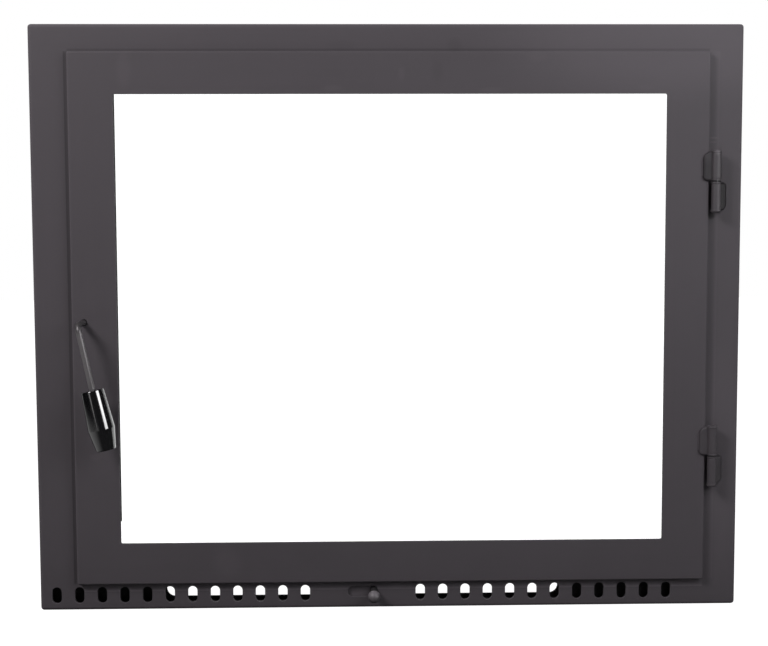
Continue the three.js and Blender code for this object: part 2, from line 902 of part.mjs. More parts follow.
function retainerScrews() {
  const head = retainerRear + seatGap;
  const r = screwHeadDiameter / 2;
  const socket = screwSocketDiameter / 2;
  const shape = [
    [0, tapeFront + seatGap],
    [screwDiameter / 2, tapeFront + seatGap],
    [screwDiameter / 2, head],
    [r, head],
    [r, head + screwHeadHeight],
    [socket, head + screwHeadHeight],
    [socket, head + screwHeadHeight - screwSocketDepth],
    [0, head + screwHeadHeight - screwSocketDepth],
  ];
  return screwPlaces().map(([side, number, x, z]) => (
    placed(piece(`retainer_screw_${side}_${number}`, turnedAboutY(shape, turnSteps / 2), steel), x, 0, z)
  ));
}

function ropeSeal() {
  const shape = sheetShape(grown(pane, ropeOuter), ropeOuterRadius, [
    opening(grown(pane, ropeInner), ropeInnerRadius),
  ]);
  return piece('door_rope_seal', roundedPlate(shape, ropeFront, ropeRear, ropeRounding), ropeWhite);
}

function spindleBush() {
  const bush = cut(
    rodAlongY(bushDiameter, tapeFront, bushRear),
    rodAlongY(rodDiameter + 2 * rodHoleGap, tapeFront - cutMargin, bushRear + cutMargin),
  );
  return placed(piece('spindle_bush', bush, steel), spindleX, 0, spindleZ);
}

// ---------------------------------------------------------------- handle

// One bent rod: it runs forward from behind the leaf, bends down and ends inside the grip
function handleRod() {
  const elbow = frameFront - rodReach;
  const corner = new THREE.Vector3(0, elbow, 0);
  const path = new THREE.CurvePath();
  path.add(new THREE.LineCurve3(
    new THREE.Vector3(0, spindleEnd, 0),
    new THREE.Vector3(0, elbow + rodBend, 0),
  ));
  path.add(new THREE.QuadraticBezierCurve3(
    new THREE.Vector3(0, elbow + rodBend, 0),
    corner,
    new THREE.Vector3(0, elbow, -rodBend),
  ));
  path.add(new THREE.LineCurve3(
    new THREE.Vector3(0, elbow, -rodBend),
    new THREE.Vector3(0, elbow, -gripStart - gripBoreDepth + seatGap),
  ));
  const section = new THREE.Shape();
  section.absarc(0, 0, rodDiameter / 2, 0, 2 * Math.PI, false);
  return piece('handle_rod', new THREE.ExtrudeGeometry(section, {
    extrudePath: path,
    steps: rodSteps,
    curveSegments: rodArcSteps,
    bevelEnabled: false,
  }), steel);
}

function handleGrip() {
  const start = gripStartDiameter / 2;
  const waist = gripWaistDiameter / 2;
  const end = gripEndDiameter / 2;
  const bore = rodDiameter / 2 + seatGap;
  const grip = turnedAboutZ([
    [0, -gripLength],
    [end - gripEdge, -gripLength],
    [end, -gripLength + gripEdge],
    [waist, -gripWaistAt],
    [start, -gripEdge],
    [start - gripEdge, 0],
    [bore, 0],
    [bore, -gripBoreDepth],
    [0, -gripBoreDepth],
  ]);
  return placed(piece('handle_grip', grip, bakelite), 0, frameFront - rodReach, -gripStart);
}

// A cam that stands clear of the frame's rim as the handle hangs, and swings behind it when turned
function latchCam() {
  const hub = camHubDiameter / 2;
  const noseX = -camNoseReach * Math.cos(camNoseAngle);
  const noseZ = -camNoseReach * Math.sin(camNoseAngle);
  const lean = Math.asin((hub - camNoseRadius) / camNoseReach);
  const towards = Math.atan2(noseZ, noseX);
  const above = towards + Math.PI / 2 - lean;
  const below = towards - Math.PI / 2 + lean;
  const arm = new THREE.Shape();
  arm.absarc(0, 0, hub, above, below + 2 * Math.PI, false);
  arm.absarc(noseX, noseZ, camNoseRadius, below, above, false);
  const bore = rodAlongY(rodDiameter + 2 * seatGap, camFront - cutMargin, camRear + cutMargin);
  const part = piece('latch_cam', cut(plate(arm, camFront, camRear), bore), steel);
  part.rotation.y = handleLean;
  return part;
}

function spindleFasteners() {
  const bore = rodDiameter + 2 * seatGap;
  const spacerRear = camFront - seatGap;
  const spacer = cut(
    rodAlongY(spindleSpacerDiameter, spindleSpacerFront, spacerRear),
    rodAlongY(bore, spindleSpacerFront - cutMargin, spacerRear + cutMargin),
  );
  const nut = cut(
    rodAlongY(spindleNutWidth, spindleNutFront, spindleNutFront + spindleNutHeight, hexSides),
    rodAlongY(bore, spindleNutFront - cutMargin, spindleNutFront + spindleNutHeight + cutMargin),
  );
  return [piece('spindle_spacer', spacer, steel), piece('spindle_nut', nut, steel)];
}

// ---------------------------------------------------------------- assembly

function group(...parts) {
  const together = new THREE.Group();
  together.add(...parts);
  return together;
}

const upperHinge = hingeSet('upper', leaf.top - upperSplitFromTop);
const lowerHinge = hingeSet('lower', leaf.bottom + lowerSplitFromBottom);

const frame = group(
  frameFace(),
  frameBackPlate(),
  ...fireTunnel(),
  ...anchorLugs(),
  latchKeeper(),
  ...slideGuides(),
  ...upperHinge.frame,
  ...lowerHinge.frame,
);
const slide = group(...airSlide());
const handle = group(handleRod(), handleGrip(), latchCam(), ...spindleFasteners());
handle.position.set(spindleX, 0, spindleZ);
handle.rotation.y = -handleLean;
const door = group(
  doorLeaf(),
  ...windowBars(),
  ...glazing(),
  ...retainers(),
  ...retainerScrews(),
  ropeSeal(),
  spindleBush(),
  upperHinge.door,
  lowerHinge.door,
  handle,
);

const fireplaceDoor = group(frame, slide, door);
fireplaceDoor.position.z = -tunnelOutside.bottom;

export default group(fireplaceDoor);
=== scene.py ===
# Fireplace glass door: its finishes and fine shapes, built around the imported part.
# Metres, +Z up, the front faces -Y, as in the part's own frame.

import json
import math

import bmesh
import bpy
from mathutils import Matrix, Vector

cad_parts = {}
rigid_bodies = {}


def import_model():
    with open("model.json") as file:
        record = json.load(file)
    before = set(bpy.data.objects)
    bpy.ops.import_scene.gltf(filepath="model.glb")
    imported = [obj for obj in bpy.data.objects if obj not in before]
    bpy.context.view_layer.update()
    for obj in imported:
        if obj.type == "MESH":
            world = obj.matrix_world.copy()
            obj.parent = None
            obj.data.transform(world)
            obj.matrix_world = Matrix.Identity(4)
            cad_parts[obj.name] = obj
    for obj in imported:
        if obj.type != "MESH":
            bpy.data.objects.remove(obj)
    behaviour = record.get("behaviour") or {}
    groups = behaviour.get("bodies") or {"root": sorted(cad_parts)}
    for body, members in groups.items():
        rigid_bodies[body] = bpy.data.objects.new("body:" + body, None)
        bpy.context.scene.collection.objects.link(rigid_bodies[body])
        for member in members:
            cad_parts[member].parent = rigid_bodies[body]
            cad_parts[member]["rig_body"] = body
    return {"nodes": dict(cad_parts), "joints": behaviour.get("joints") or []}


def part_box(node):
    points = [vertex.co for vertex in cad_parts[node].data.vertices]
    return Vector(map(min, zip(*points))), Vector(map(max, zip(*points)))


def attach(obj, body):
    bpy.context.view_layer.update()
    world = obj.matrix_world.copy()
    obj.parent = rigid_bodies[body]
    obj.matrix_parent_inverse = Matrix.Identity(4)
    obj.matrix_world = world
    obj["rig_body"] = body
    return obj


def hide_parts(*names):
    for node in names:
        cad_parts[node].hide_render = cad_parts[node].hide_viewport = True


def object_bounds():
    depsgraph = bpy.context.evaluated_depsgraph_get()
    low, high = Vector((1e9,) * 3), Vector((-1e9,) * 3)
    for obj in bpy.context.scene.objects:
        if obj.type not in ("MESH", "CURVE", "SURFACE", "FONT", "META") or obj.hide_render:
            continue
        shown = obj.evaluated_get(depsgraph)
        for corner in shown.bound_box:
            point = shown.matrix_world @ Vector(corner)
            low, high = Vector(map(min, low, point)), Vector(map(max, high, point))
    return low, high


MM = 0.001
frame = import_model()
cad_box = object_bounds()
NODES = frame["nodes"]
JOINTS = {joint["name"]: joint for joint in frame["joints"]}
SPINDLE = Vector(JOINTS["handle_turn"]["pos_m"])

# ---------------------------------------------------------------- sizes

EDGE = 0.3 * MM  # how far a cut sheet edge is broken
EDGE_STEPS = 2
BEND_SMOOTH = math.radians(32)
SEAT_GAP = 0.3 * MM
SIDES = 64

HANDLE_LEAN = math.radians(11.8)
ROD_RADIUS = 2.9 * MM
ROD_BEND = 8 * MM
ROD_BEND_STEPS = 14
ROD_SIDES = 32
ROD_CHAMFER = 0.6 * MM
ROD_END = 0.84  # how thick its cut end is, as a share of the rod

ROPE_HALF_WIDE = 4.7 * MM
ROPE_CORNER = 7.3 * MM
ROPE_SQUARENESS = 0.55
ROPE_SECTION_STEPS = 28
ROPE_STEP = 1.2 * MM
ROPE_PLAIT = 5.2 * MM
ROPE_STRANDS = 5
ROPE_RELIEF = 0.45 * MM

BARREL_RADIUS = 4.5 * MM
PIN_BORE = 2.75 * MM
CRIMP = 0.5 * MM
BARREL_WALL = 5 * MM
TAIL_REACH = 12.5 * MM
TAIL_SHEET = 3 * MM
TAIL_SHORT = 1.2 * MM  # how far it stops before the barrel's closed end
TAIL_CORNER_SPLIT = 4 * MM
TAIL_CORNER_CLOSED = 8 * MM
# The tail's edge in millimetres: how far from the seat, and how far in from the outline
TAIL_EDGE = [(0, 0.25), (0.25, 0), (1.3, 0), (2.0, 0.25), (2.5, 0.75), (2.85, 1.5), (3.0, 2.4)]

BEAD_RADIUS = 1.1 * MM
BEAD_RADIUS_FINE = 0.9 * MM
BEAD_RIPPLE = 1.3 * MM
BEAD_RIPPLE_STEPS = 4
BEAD_SIDES = 12
BEAD_HEIGHT = 0.8  # its height as a share of half its width
BEAD_SWELL = 0.1
BEAD_TIP = 0.15  # how thick its ends still are, as a share of the bead

# ---------------------------------------------------------------- camera

CAMERA_PLACE = (-0.0300, -1.2278, 0.3320)
CAMERA_TURN = (85.913, 0.198, -1.224)
CAMERA_LENS = 56.77
SENSOR_WIDTH = 36


def make_camera():
    data = bpy.data.cameras.new("camera")
    data.lens = CAMERA_LENS
    data.sensor_width = SENSOR_WIDTH
    data.sensor_fit = "HORIZONTAL"
    camera = bpy.data.objects.new("camera", data)
    camera.location = CAMERA_PLACE
    camera.rotation_euler = [math.radians(a) for a in CAMERA_TURN]
    bpy.context.scene.collection.objects.link(camera)
    bpy.context.scene.camera = camera


# ---------------------------------------------------------------- lights and surroundings

KEY_PLACE = Vector((0.60, -0.72, 0.68))
KEY_SIZE = (0.66, 0.66)
KEY_POWER = 4.08
KEY_COLOUR = (0.975, 0.97, 1.0)
FILL_PLACE = Vector((-1.05, -1.00, 1.30))
FILL_SIZE = (0.50, 0.50)
FILL_POWER = 17.4
FILL_COLOUR = (1.0, 0.965, 0.99)
LAMP_AIM = Vector((0.0, -0.03, 0.22))

ROOM_LEVEL = 0.02
BACKDROP_LEVEL = 0.9
BACKDROP_FROM = (-0.02, 0.10)  # the Y of a direction where the dark room turns into the backdrop
THROUGH_GLASS = 1.25  # makes up for what the pane takes
ONE_MIRROR = 1.5  # a bounce count between the first mirror and the second

# What only polished things show. The backdrop's far part, as a thin rim
RIM_LEVEL = 0.95
RIM_SKY = (0.42, 0.78)
RIM_GROUND = (0.08, 0.42)
RIM_SLANT = 0.2
# A white card to the right
CARD_WAY = Vector((0.860, -0.510, 0.12)).normalized()
CARD_SPREAD = (0.968, 0.984)
CARD_LEVEL = 4.5
# Lit ground to the left, in X
GROUND_LEVEL = 0.03
LIT_LEVEL = 0.37
LIT_FROM = (-1.24, -0.90)
LIT_TO = (-0.62, -0.33)
# A paler patch beyond it
PATCH_WAY = Vector((-0.57, -0.82, 0.0)).normalized()
PATCH_SPREAD = (0.965, 0.985)
PATCH_FROM = (2.55, 2.95)
PATCH_LEVEL = 0.9

FLOOR_HALF = 6.0
FLOOR_NEAR = 0.95
FLOOR_FAR = 1.02
FLOOR_FADE = (0.6, 1.8)  # how far off it turns from one into the other
FLOOR_GREY = 0.3


def make_lamp(name, place, size, power, colour):
    data = bpy.data.lights.new(name, "AREA")
    data.shape = "RECTANGLE"
    data.size, data.size_y = size
    data.energy = power
    data.color = colour
    lamp = bpy.data.objects.new(name, data)
    lamp.location = place
    lamp.rotation_euler = (LAMP_AIM - place).to_track_quat("-Z", "Y").to_euler()
    lamp.visible_camera = False
    lamp.visible_transmission = False
    bpy.context.scene.collection.objects.link(lamp)


def make_lamps():
    make_lamp("key_right", KEY_PLACE, KEY_SIZE, KEY_POWER, KEY_COLOUR)
    make_lamp("fill_left", FILL_PLACE, FILL_SIZE, FILL_POWER, FILL_COLOUR)


def make_world():
    """A white sweep behind the object, white to the eye and through the glass, in a dark room."""
    world = bpy.data.worlds.new("studio")
    world.use_nodes = True
    world.node_tree.nodes.clear()
    graph = Graph(world.node_tree)
    path = graph.add("ShaderNodeLightPath").outputs
    direction = graph.add("ShaderNodeTexCoord").outputs["Generated"]
    depth = graph.add("ShaderNodeSeparateXYZ", {0: direction}).outputs["Y"]
    lit = graph.span(depth, *BACKDROP_FROM, ROOM_LEVEL, BACKDROP_LEVEL)
    rim = graph.span(depth, *RIM_SKY, ROOM_LEVEL, RIM_LEVEL)
    card = graph.span(graph.dot(direction, CARD_WAY), *CARD_SPREAD, 0.0, CARD_LEVEL)
    card = graph.maths("MULTIPLY", card, graph.maths("LESS_THAN", path["Glossy Depth"], ONE_MIRROR))
    mirrored = graph.maths("MINIMUM", path["Glossy Depth"], 1.0)
    level = graph.blend(path["Is Transmission Ray"], lit, THROUGH_GLASS)
    level = graph.blend(mirrored, level, graph.maths("MAXIMUM", rim, card))
    level = graph.maths("MAXIMUM", level, path["Is Camera Ray"])
    light = graph.add("ShaderNodeBackground", {"Color": (1, 1, 1, 1), "Strength": level})
    graph.add("ShaderNodeOutputWorld", {"Surface": light.outputs[0]})
    bpy.context.scene.world = world


def make_floor():
    """Pale studio floor: white to the eye, with a soft shadow of the object, and dark when mirrored."""
    low = cad_box[0].z
    mesh = bpy.data.meshes.new("floor")
    corners = [(-1, -1), (1, -1), (1, 1), (-1, 1)]
    mesh.from_pydata([(x * FLOOR_HALF, y * FLOOR_HALF, low) for x, y in corners], [], [(0, 1, 2, 3)])
    floor = bpy.data.objects.new("floor", mesh)
    bpy.context.scene.collection.objects.link(floor)
    material = bpy.data.materials.new("floor_white")
    material.use_nodes = True
    material.node_tree.nodes.clear()
    graph = Graph(material.node_tree)
    path = graph.add("ShaderNodeLightPath").outputs
    place = graph.add("ShaderNodeNewGeometry").outputs["Position"]
    along = graph.add("ShaderNodeSeparateXYZ", {0: place}).outputs
    distance = graph.length(place)
    glow = graph.span(distance, *FLOOR_FADE, FLOOR_NEAR, FLOOR_FAR)
    glow = graph.maths("MULTIPLY", glow, path["Is Camera Ray"])
    glow = graph.blend(path["Is Transmission Ray"], glow, THROUGH_GLASS)
    shine = graph.add("ShaderNodeEmission", {"Color": (1, 1, 1, 1), "Strength": glow})
    matt = graph.add("ShaderNodeBsdfDiffuse", {"Color": (FLOOR_GREY, FLOOR_GREY, FLOOR_GREY, 1)})
    both = graph.add("ShaderNodeAddShader", {0: shine.outputs[0], 1: matt.outputs[0]})
    ground = graph.span(along["X"], *LIT_TO, LIT_LEVEL, GROUND_LEVEL)
    ground = graph.maths("MULTIPLY", ground, graph.span(along["X"], *LIT_FROM))
    heading = graph.add("ShaderNodeVectorMath", {0: place}, operation="NORMALIZE").outputs[0]
    patch = graph.span(graph.dot(heading, PATCH_WAY), *PATCH_SPREAD)
    patch = graph.maths("MULTIPLY", patch, graph.span(distance, *PATCH_FROM))
    ground = graph.maths("MAXIMUM", ground, graph.maths("MULTIPLY", patch, PATCH_LEVEL))
    slant = graph.maths("MULTIPLY", graph.maths("ABSOLUTE", along["X"]), RIM_SLANT)
    rear = graph.maths("SUBTRACT", along["Y"], slant)
    level = graph.maths("MAXIMUM", ground, graph.span(rear, *RIM_GROUND, 0.0, RIM_LEVEL))
    mirrored = graph.add("ShaderNodeEmission", {"Color": (1, 1, 1, 1), "Strength": level})
    polished = graph.maths("MINIMUM", path["Glossy Depth"], 1.0)
    mix = graph.add("ShaderNodeMixShader", {0: polished, 1: both.outputs[0], 2: mirrored.outputs[0]})
    graph.add("ShaderNodeOutputMaterial", {"Surface": mix.outputs[0]})
    mesh.materials.append(material)


# ---------------------------------------------------------------- node graphs


class Graph:
    """Short calls for building a node tree."""

    def __init__(self, tree):
        self.tree = tree

    def add(self, kind, inputs=None, **settings):
        node = self.tree.nodes.new(kind)
        for key, value in settings.items():
            setattr(node, key, value)
        for key, value in (inputs or {}).items():
            self.feed(node.inputs[key], value)
        return node

    def feed(self, socket, value):
        if isinstance(value, bpy.types.NodeSocket):
            self.tree.links.new(value, socket)
        else:
            socket.default_value = value

    def maths(self, operation, a, b=0.0):
        return self.add("ShaderNodeMath", {0: a, 1: b}, operation=operation).outputs[0]

    def span(self, value, low, high, to_low=0.0, to_high=1.0):
        """value from low to high as to_low to to_high, eased at both ends"""
        inputs = {"Value": value, 1: low, 2: high, 3: to_low, 4: to_high}
        return self.add("ShaderNodeMapRange", inputs, interpolation_type="SMOOTHSTEP").outputs[0]

    def blend(self, share, a, b):
        return self.add("ShaderNodeMix", {0: share, 2: a, 3: b}, data_type="FLOAT").outputs[0]

    def stretched(self, vector, scale):
        return self.add("ShaderNodeVectorMath", {0: vector, 1: scale}, operation="MULTIPLY").outputs[0]

    def dot(self, a, b):
        return self.add("ShaderNodeVectorMath", {0: a, 1: b}, operation="DOT_PRODUCT").outputs["Value"]

    def minus(self, a, b):
        return self.add("ShaderNodeVectorMath", {0: a, 1: b}, operation="SUBTRACT").outputs[0]

    def length(self, vector):
        return self.add("ShaderNodeVectorMath", {0: vector}, operation="LENGTH").outputs["Value"]

    def noise(self, vector, scale, detail=2.0, rough=0.5):
        inputs = {"Vector": vector, "Scale": scale, "Detail": detail, "Roughness": rough}
        return self.add("ShaderNodeTexNoise", inputs).outputs["Fac"]

    def total(self, start, terms):
        """start plus each (value, amount) as amount times how far the value lies from a half"""
        result = start
        for value, amount in terms:
            swing = self.maths("MULTIPLY", self.maths("SUBTRACT", value, 0.5), amount)
            result = self.maths("ADD", result, swing)
        return result

    def tinted(self, colour, level):
        inputs = {0: colour, "Scale": level}
        return self.add("ShaderNodeVectorMath", inputs, operation="SCALE").outputs[0]

    def bump(self, height, depth, strength=1.0, normal=None):
        inputs = {"Height": height, "Distance": depth, "Strength": strength}
        if normal is not None:
            inputs["Normal"] = normal
        return self.add("ShaderNodeBump", inputs).outputs[0]


class Look(Graph):
    """A material under construction, with the constants of its shader set on the shader itself."""

    def __init__(self, name, **constants):
        self.material = bpy.data.materials.new(name)
        self.material.use_nodes = True
        super().__init__(self.material.node_tree)
        self.shader = self.tree.nodes["Principled BSDF"]
        self.place = self.add("ShaderNodeTexCoord").outputs["Object"]
        for key, value in constants.items():
            self.shader.inputs[key.replace("_", " ")].default_value = value

    def set(self, **values):
        for key, value in values.items():
            self.feed(self.shader.inputs[key.replace("_", " ")], value)
        return self.material


# ---------------------------------------------------------------- finishes

PAINT_COLOUR = (0.0826, 0.0742, 0.0818)
# Broken edges lighter: rubbed paint and a painted highlight
EDGE_WEAR_AND_HIGHLIGHT_COLOUR = (0.105, 0.100, 0.108)
# The hinge tails: the same paint made darker, painted shade, the upper hinge's darker still
TAIL_SHADED_COLOUR = (0.065, 0.0586, 0.064)
TAIL_DEEP_SHADED_COLOUR = (0.042, 0.038, 0.0415)
HINGE_COLOUR = (0.070, 0.0637, 0.0695)
HINGE_DULL_COLOUR = (0.071, 0.064, 0.070)
# The slide plate: the same paint made lighter, painted light where it lies in shade behind the slots
SLIDE_LIT_COLOUR = (0.118, 0.106, 0.116)
INNER_COLOUR = (0.034, 0.0325, 0.034)
ZINC_COLOUR = (0.44, 0.44, 0.43)
ROD_COLOUR = (0.21, 0.20, 0.205)
GRIP_COLOUR = (0.006, 0.006, 0.007)
# lighter than the frame's paint: a painted highlight
KNOB_COLOUR = (0.112, 0.104, 0.111)
GLASS_COLOUR = (0.99, 1.0, 0.995)
TAPE_COLOUR = (0.36, 0.34, 0.30)
ROPE_COLOUR = (0.34, 0.32, 0.285)

# The rod's painted shade near the spindle
ROD_PAINTED_SHADE_FADE = (2 * MM, 12 * MM)  # how far from the spindle's middle its dark part fades

# How many of each there are to the metre in the paint
CLOUDS, BLOTCHES, ORANGE_PEEL, GRAIN = 9, 38, 330, 1500
STREAK_ALONG, STREAK_ACROSS = 3, 170
RAIL_FADE = 20 * MM  # where the streaks turn from upright beside the window to level above and below it

SPOT_FADE = (0.35, 1.25)  # where a mark fades out, as shares of its half size

# Where welds were ground flat or the paint was wiped, and painted shadows and painted light: x, z, half
# width, half height, how much lighter
PAINT_WEAR_AND_PAINTED_LIGHT = [
    (-0.2560, 0.4930, 0.0080, 0.0200, 0.10),
    (-0.0540, 0.4760, 0.0110, 0.0030, 0.10),
    (-0.0440, 0.5180, 0.0160, 0.0060, -0.06),
    (0.0130, 0.4900, 0.0035, 0.0080, 0.10),
    (0.0480, 0.4920, 0.0060, 0.0120, -0.06),
    (0.0650, 0.5180, 0.0080, 0.0080, -0.08),
    (0.1010, 0.4740, 0.0130, 0.0030, 0.09),
    (0.1460, 0.5060, 0.0110, 0.0050, 0.07),
    (0.2520, 0.4760, 0.0090, 0.0030, 0.07),
    (-0.1620, 0.0080, 0.0160, 0.0180, 0.10),
    (0.1690, -0.0260, 0.0035, 0.0120, 0.16),
    (0.2400, -0.0220, 0.0025, 0.0080, 0.10),
    (0.3215, 0.4280, 0.0045, 0.0012, 0.32),
    (0.3210, 0.4238, 0.0035, 0.0011, 0.24),
    # painted shadows: right of the upper hinge's door barrel, and below the frame barrels of both hinges
    (0.3288, 0.3980, 0.0014, 0.0200, -0.55),
    (0.3195, 0.3515, 0.0050, 0.0040, -0.60),
    (0.3195, 0.0790, 0.0050, 0.0040, -0.30),
    # painted light: a lighter top right, and a lighter lower part of the right side
    (0.2700, 0.5200, 0.1600, 0.0560, 0.26),
    (0.3350, 0.1100, 0.0250, 0.1300, 0.15),
    (-0.2900, 0.1150, 0.0060, 0.0040, 0.10),
]
# A painted highlight on the capped top of the upper hinge's door barrel
HINGE_CAP_PAINTED_HIGHLIGHT = [(0.3215, 0.4130, 0.0030, 0.0030, 0.9)]
# Painted shadows on the upper hinge's two tails and on the lower hinge's frame tail
TAIL_PAINTED_SHADOWS_UPPER = [(0.3105, 0.3960, 0.0080, 0.0120, -0.26), (0.3301, 0.3692, 0.0100, 0.0300, -0.52)]
TAIL_PAINTED_SHADOW_LOWER = [(0.3301, 0.0971, 0.0100, 0.0300, -0.24)]

# Painted highlights along the frame's outer bends and the leaf's edges, and painted shade and light
# round the leaf on the frame
# how far a band fades out past the ends of its side
BAND_END_FADE = 2 * MM
BAND_EDGE = 0.4  # how softly a band starts, in millimetres
FRAME_PAINTED_LIGHT_BANDS = [
    # the frame's own outline: painted highlights on its sides and top, painted shade at its bottom
    ("frame_face", [("left", 0, 4.5, 0.20), ("right", 0, 5, 0.10),
                    ("top", 0, 4.5, 0.22), ("top", 0, 28, 0.05), ("bottom", 0, 3, -0.05)]),
    # round the leaf: painted shade above it and to its left, painted light to its right and below it,
    # where its shadow falls
    ("door_leaf", [("top", -3.2, 2, -0.22), ("left", -4.4, 2, -0.34), ("right", -11, -1.5, 0.12),
                   ("bottom", -9, -1, 0.50)]),
]
LEAF_PAINTED_HIGHLIGHT_BANDS = [
    ("door_leaf", [("left", 0, 2.4, 0.22), ("top", 0, 2.4, 0.18), ("bottom", 0, 2.4, 0.04)]),
]


def soft_spot(look, x, z, half_width, half_height):
    """1 in the middle of a soft-edged oval on the front, 0 outside it"""
    centred = look.minus(look.place, (x, 0, z))
    scaled = look.stretched(centred, (1 / half_width, 0, 1 / half_height))
    return look.span(look.length(scaled), *SPOT_FADE, 1.0, 0.0)


def bordered(look, tone, node, bands):
    """tone with bands along the sides of a node's outline in X and Z. Each band is a side, where it
    starts and ends inward from that side in millimetres, and how much lighter it is."""
    low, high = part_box(node)
    place = look.add("ShaderNodeSeparateXYZ", {0: look.place}).outputs
    inward = {
        "left": look.maths("SUBTRACT", place["X"], low.x),
        "right": look.maths("SUBTRACT", high.x, place["X"]),
        "bottom": look.maths("SUBTRACT", place["Z"], low.z),
        "top": look.maths("SUBTRACT", high.z, place["Z"]),
    }
    across = {"left": "Z", "right": "Z", "bottom": "X", "top": "X"}
    for side, start, end, amount in bands:
        axis = across[side]
        first, last = getattr(low, axis.lower()), getattr(high, axis.lower())
        within = look.maths("MULTIPLY", look.span(place[axis], first - BAND_END_FADE, first), amount)
        within = look.maths("MULTIPLY", within, look.span(place[axis], last, last + BAND_END_FADE, 1.0, 0.0))
        rise = look.span(inward[side], (start - BAND_EDGE) * MM, start * MM)
        fall = look.span(inward[side], start * MM, end * MM, 1.0, 0.0)
        band = look.maths("MULTIPLY", rise, fall)
        tone = look.maths("ADD", tone, look.maths("MULTIPLY", band, within))
    return tone


def paint(
    name, colour, marks=(), roughness=0.6, grain=0.045, cloudiness=0.09, streaks=0.07, bands=(),
    shine=0.32,
):
    """Matt stove paint: fine grain, faint clouds and the streaks of the spray and of sanding, with marks
    and bands that add wear and painted light and shade.
    """
    look = Look(name, Metallic=0.0, Specular_IOR_Level=shine)
    clouds = look.noise(look.place, CLOUDS, 3)
    blotches = look.noise(look.place, BLOTCHES, 2)
    fine = look.noise(look.place, GRAIN, 2, 0.6)
    peel = look.noise(look.place, ORANGE_PEEL, 1)
    level_stretch = (STREAK_ALONG, STREAK_ALONG, STREAK_ACROSS)
    flat = look.noise(look.stretched(look.place, level_stretch), 1, 3, 0.6)
    upright = look.noise(look.stretched(look.place, level_stretch[::-1]), 1, 3, 0.6)
    window_low, window_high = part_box("glass_pane")
    height = look.add("ShaderNodeSeparateXYZ", {0: look.place}).outputs["Z"]
    above = look.span(height, window_high.z - RAIL_FADE, window_high.z)
    below = look.span(height, window_low.z, window_low.z + RAIL_FADE, 1.0, 0.0)
    rails = look.maths("MAXIMUM", above, below)
    streak = look.blend(rails, upright, flat)
    tone = look.total(1.0, [(clouds, cloudiness), (blotches, 0.05), (streak, streaks), (fine, grain)])
    # marks and bands: wear, and painted shadows, highlights and light
    for x, z, half_width, half_height, amount in marks:
        spot = look.maths("MULTIPLY", soft_spot(look, x, z, half_width, half_height), amount)
        tone = look.maths("ADD", tone, spot)
    for node, sides in bands:
        tone = bordered(look, tone, node, sides)
    rough = look.total(roughness, [(clouds, 0.12), (fine, 0.10), (streak, 0.08)])
    relief = look.bump(peel, 0.05 * MM, 0.25)
    relief = look.bump(fine, 0.03 * MM, 0.35, relief)
    return look.set(Base_Color=look.tinted(colour, tone), Roughness=rough, Normal=relief)


def zinc():
    """Zinc-plated steel with a faint crystalline bloom and handling dullness."""
    look = Look("zinc_plate", Metallic=1.0)
    grains = look.add("ShaderNodeTexVoronoi", {"Vector": look.place, "Scale": 240.0}).outputs["Color"]
    grain = look.add("ShaderNodeSeparateColor", {0: grains}).outputs[0]
    dull = look.noise(look.place, 60, 4, 0.6)
    fine = look.noise(look.place, 900, 2)
    tone = look.total(0.9, [(grain, 0.12), (dull, 0.25)])
    rough = look.total(0.38, [(dull, 0.25), (grain, 0.08)])
    relief = look.bump(fine, 0.02 * MM, 0.3)
    return look.set(Base_Color=look.tinted(ZINC_COLOUR, tone), Roughness=rough, Normal=relief)


def rod_steel():
    """Drawn rod, blackened and worn, with streaks along it, and painted shade near the spindle."""
    look = Look("drawn_rod", Metallic=0.5, Specular_IOR_Level=0.5)
    along = look.stretched(look.place, (1500, 1500, 25))
    streak = look.noise(along, 1, 3, 0.6)
    spots = look.noise(look.place, 420, 3, 0.6)
    reach = look.length(look.stretched(look.minus(look.place, SPINDLE), (1, 0, 1)))
    # painted shade: darker near the spindle
    painted_shade = look.span(reach, *ROD_PAINTED_SHADE_FADE, 0.5, 1.0)
    tone = look.maths("MULTIPLY", look.total(1.0, [(streak, 0.30), (spots, 0.22)]), painted_shade)
    rough = look.total(0.42, [(streak, 0.16), (spots, 0.12)])
    relief = look.bump(streak, 0.02 * MM, 0.35)
    return look.set(Base_Color=look.tinted(ROD_COLOUR, tone), Roughness=rough, Normal=relief)


def grip_black():
    """Polished black thermoset with hairline turning marks and a little dust."""
    look = Look("grip_gloss", Metallic=0.0, IOR=1.7, Coat_Weight=1.0, Coat_Roughness=0.04, Coat_IOR=1.9)
    rings = look.noise(look.stretched(look.place, (60, 60, 2600)), 1, 2)
    dust = look.span(look.noise(look.place, 900, 3, 0.7), 0.66, 0.78)
    smear = look.noise(look.place, 70, 3, 0.6)
    tone = look.maths("ADD", look.total(1.0, [(smear, 0.4)]), look.maths("MULTIPLY", dust, 2.2))
    rough = look.total(0.11, [(smear, 0.07), (rings, 0.03)])
    relief = look.bump(rings, 0.004 * MM, 0.3)
    return look.set(Base_Color=look.tinted(GRIP_COLOUR, tone), Roughness=rough, Normal=relief)


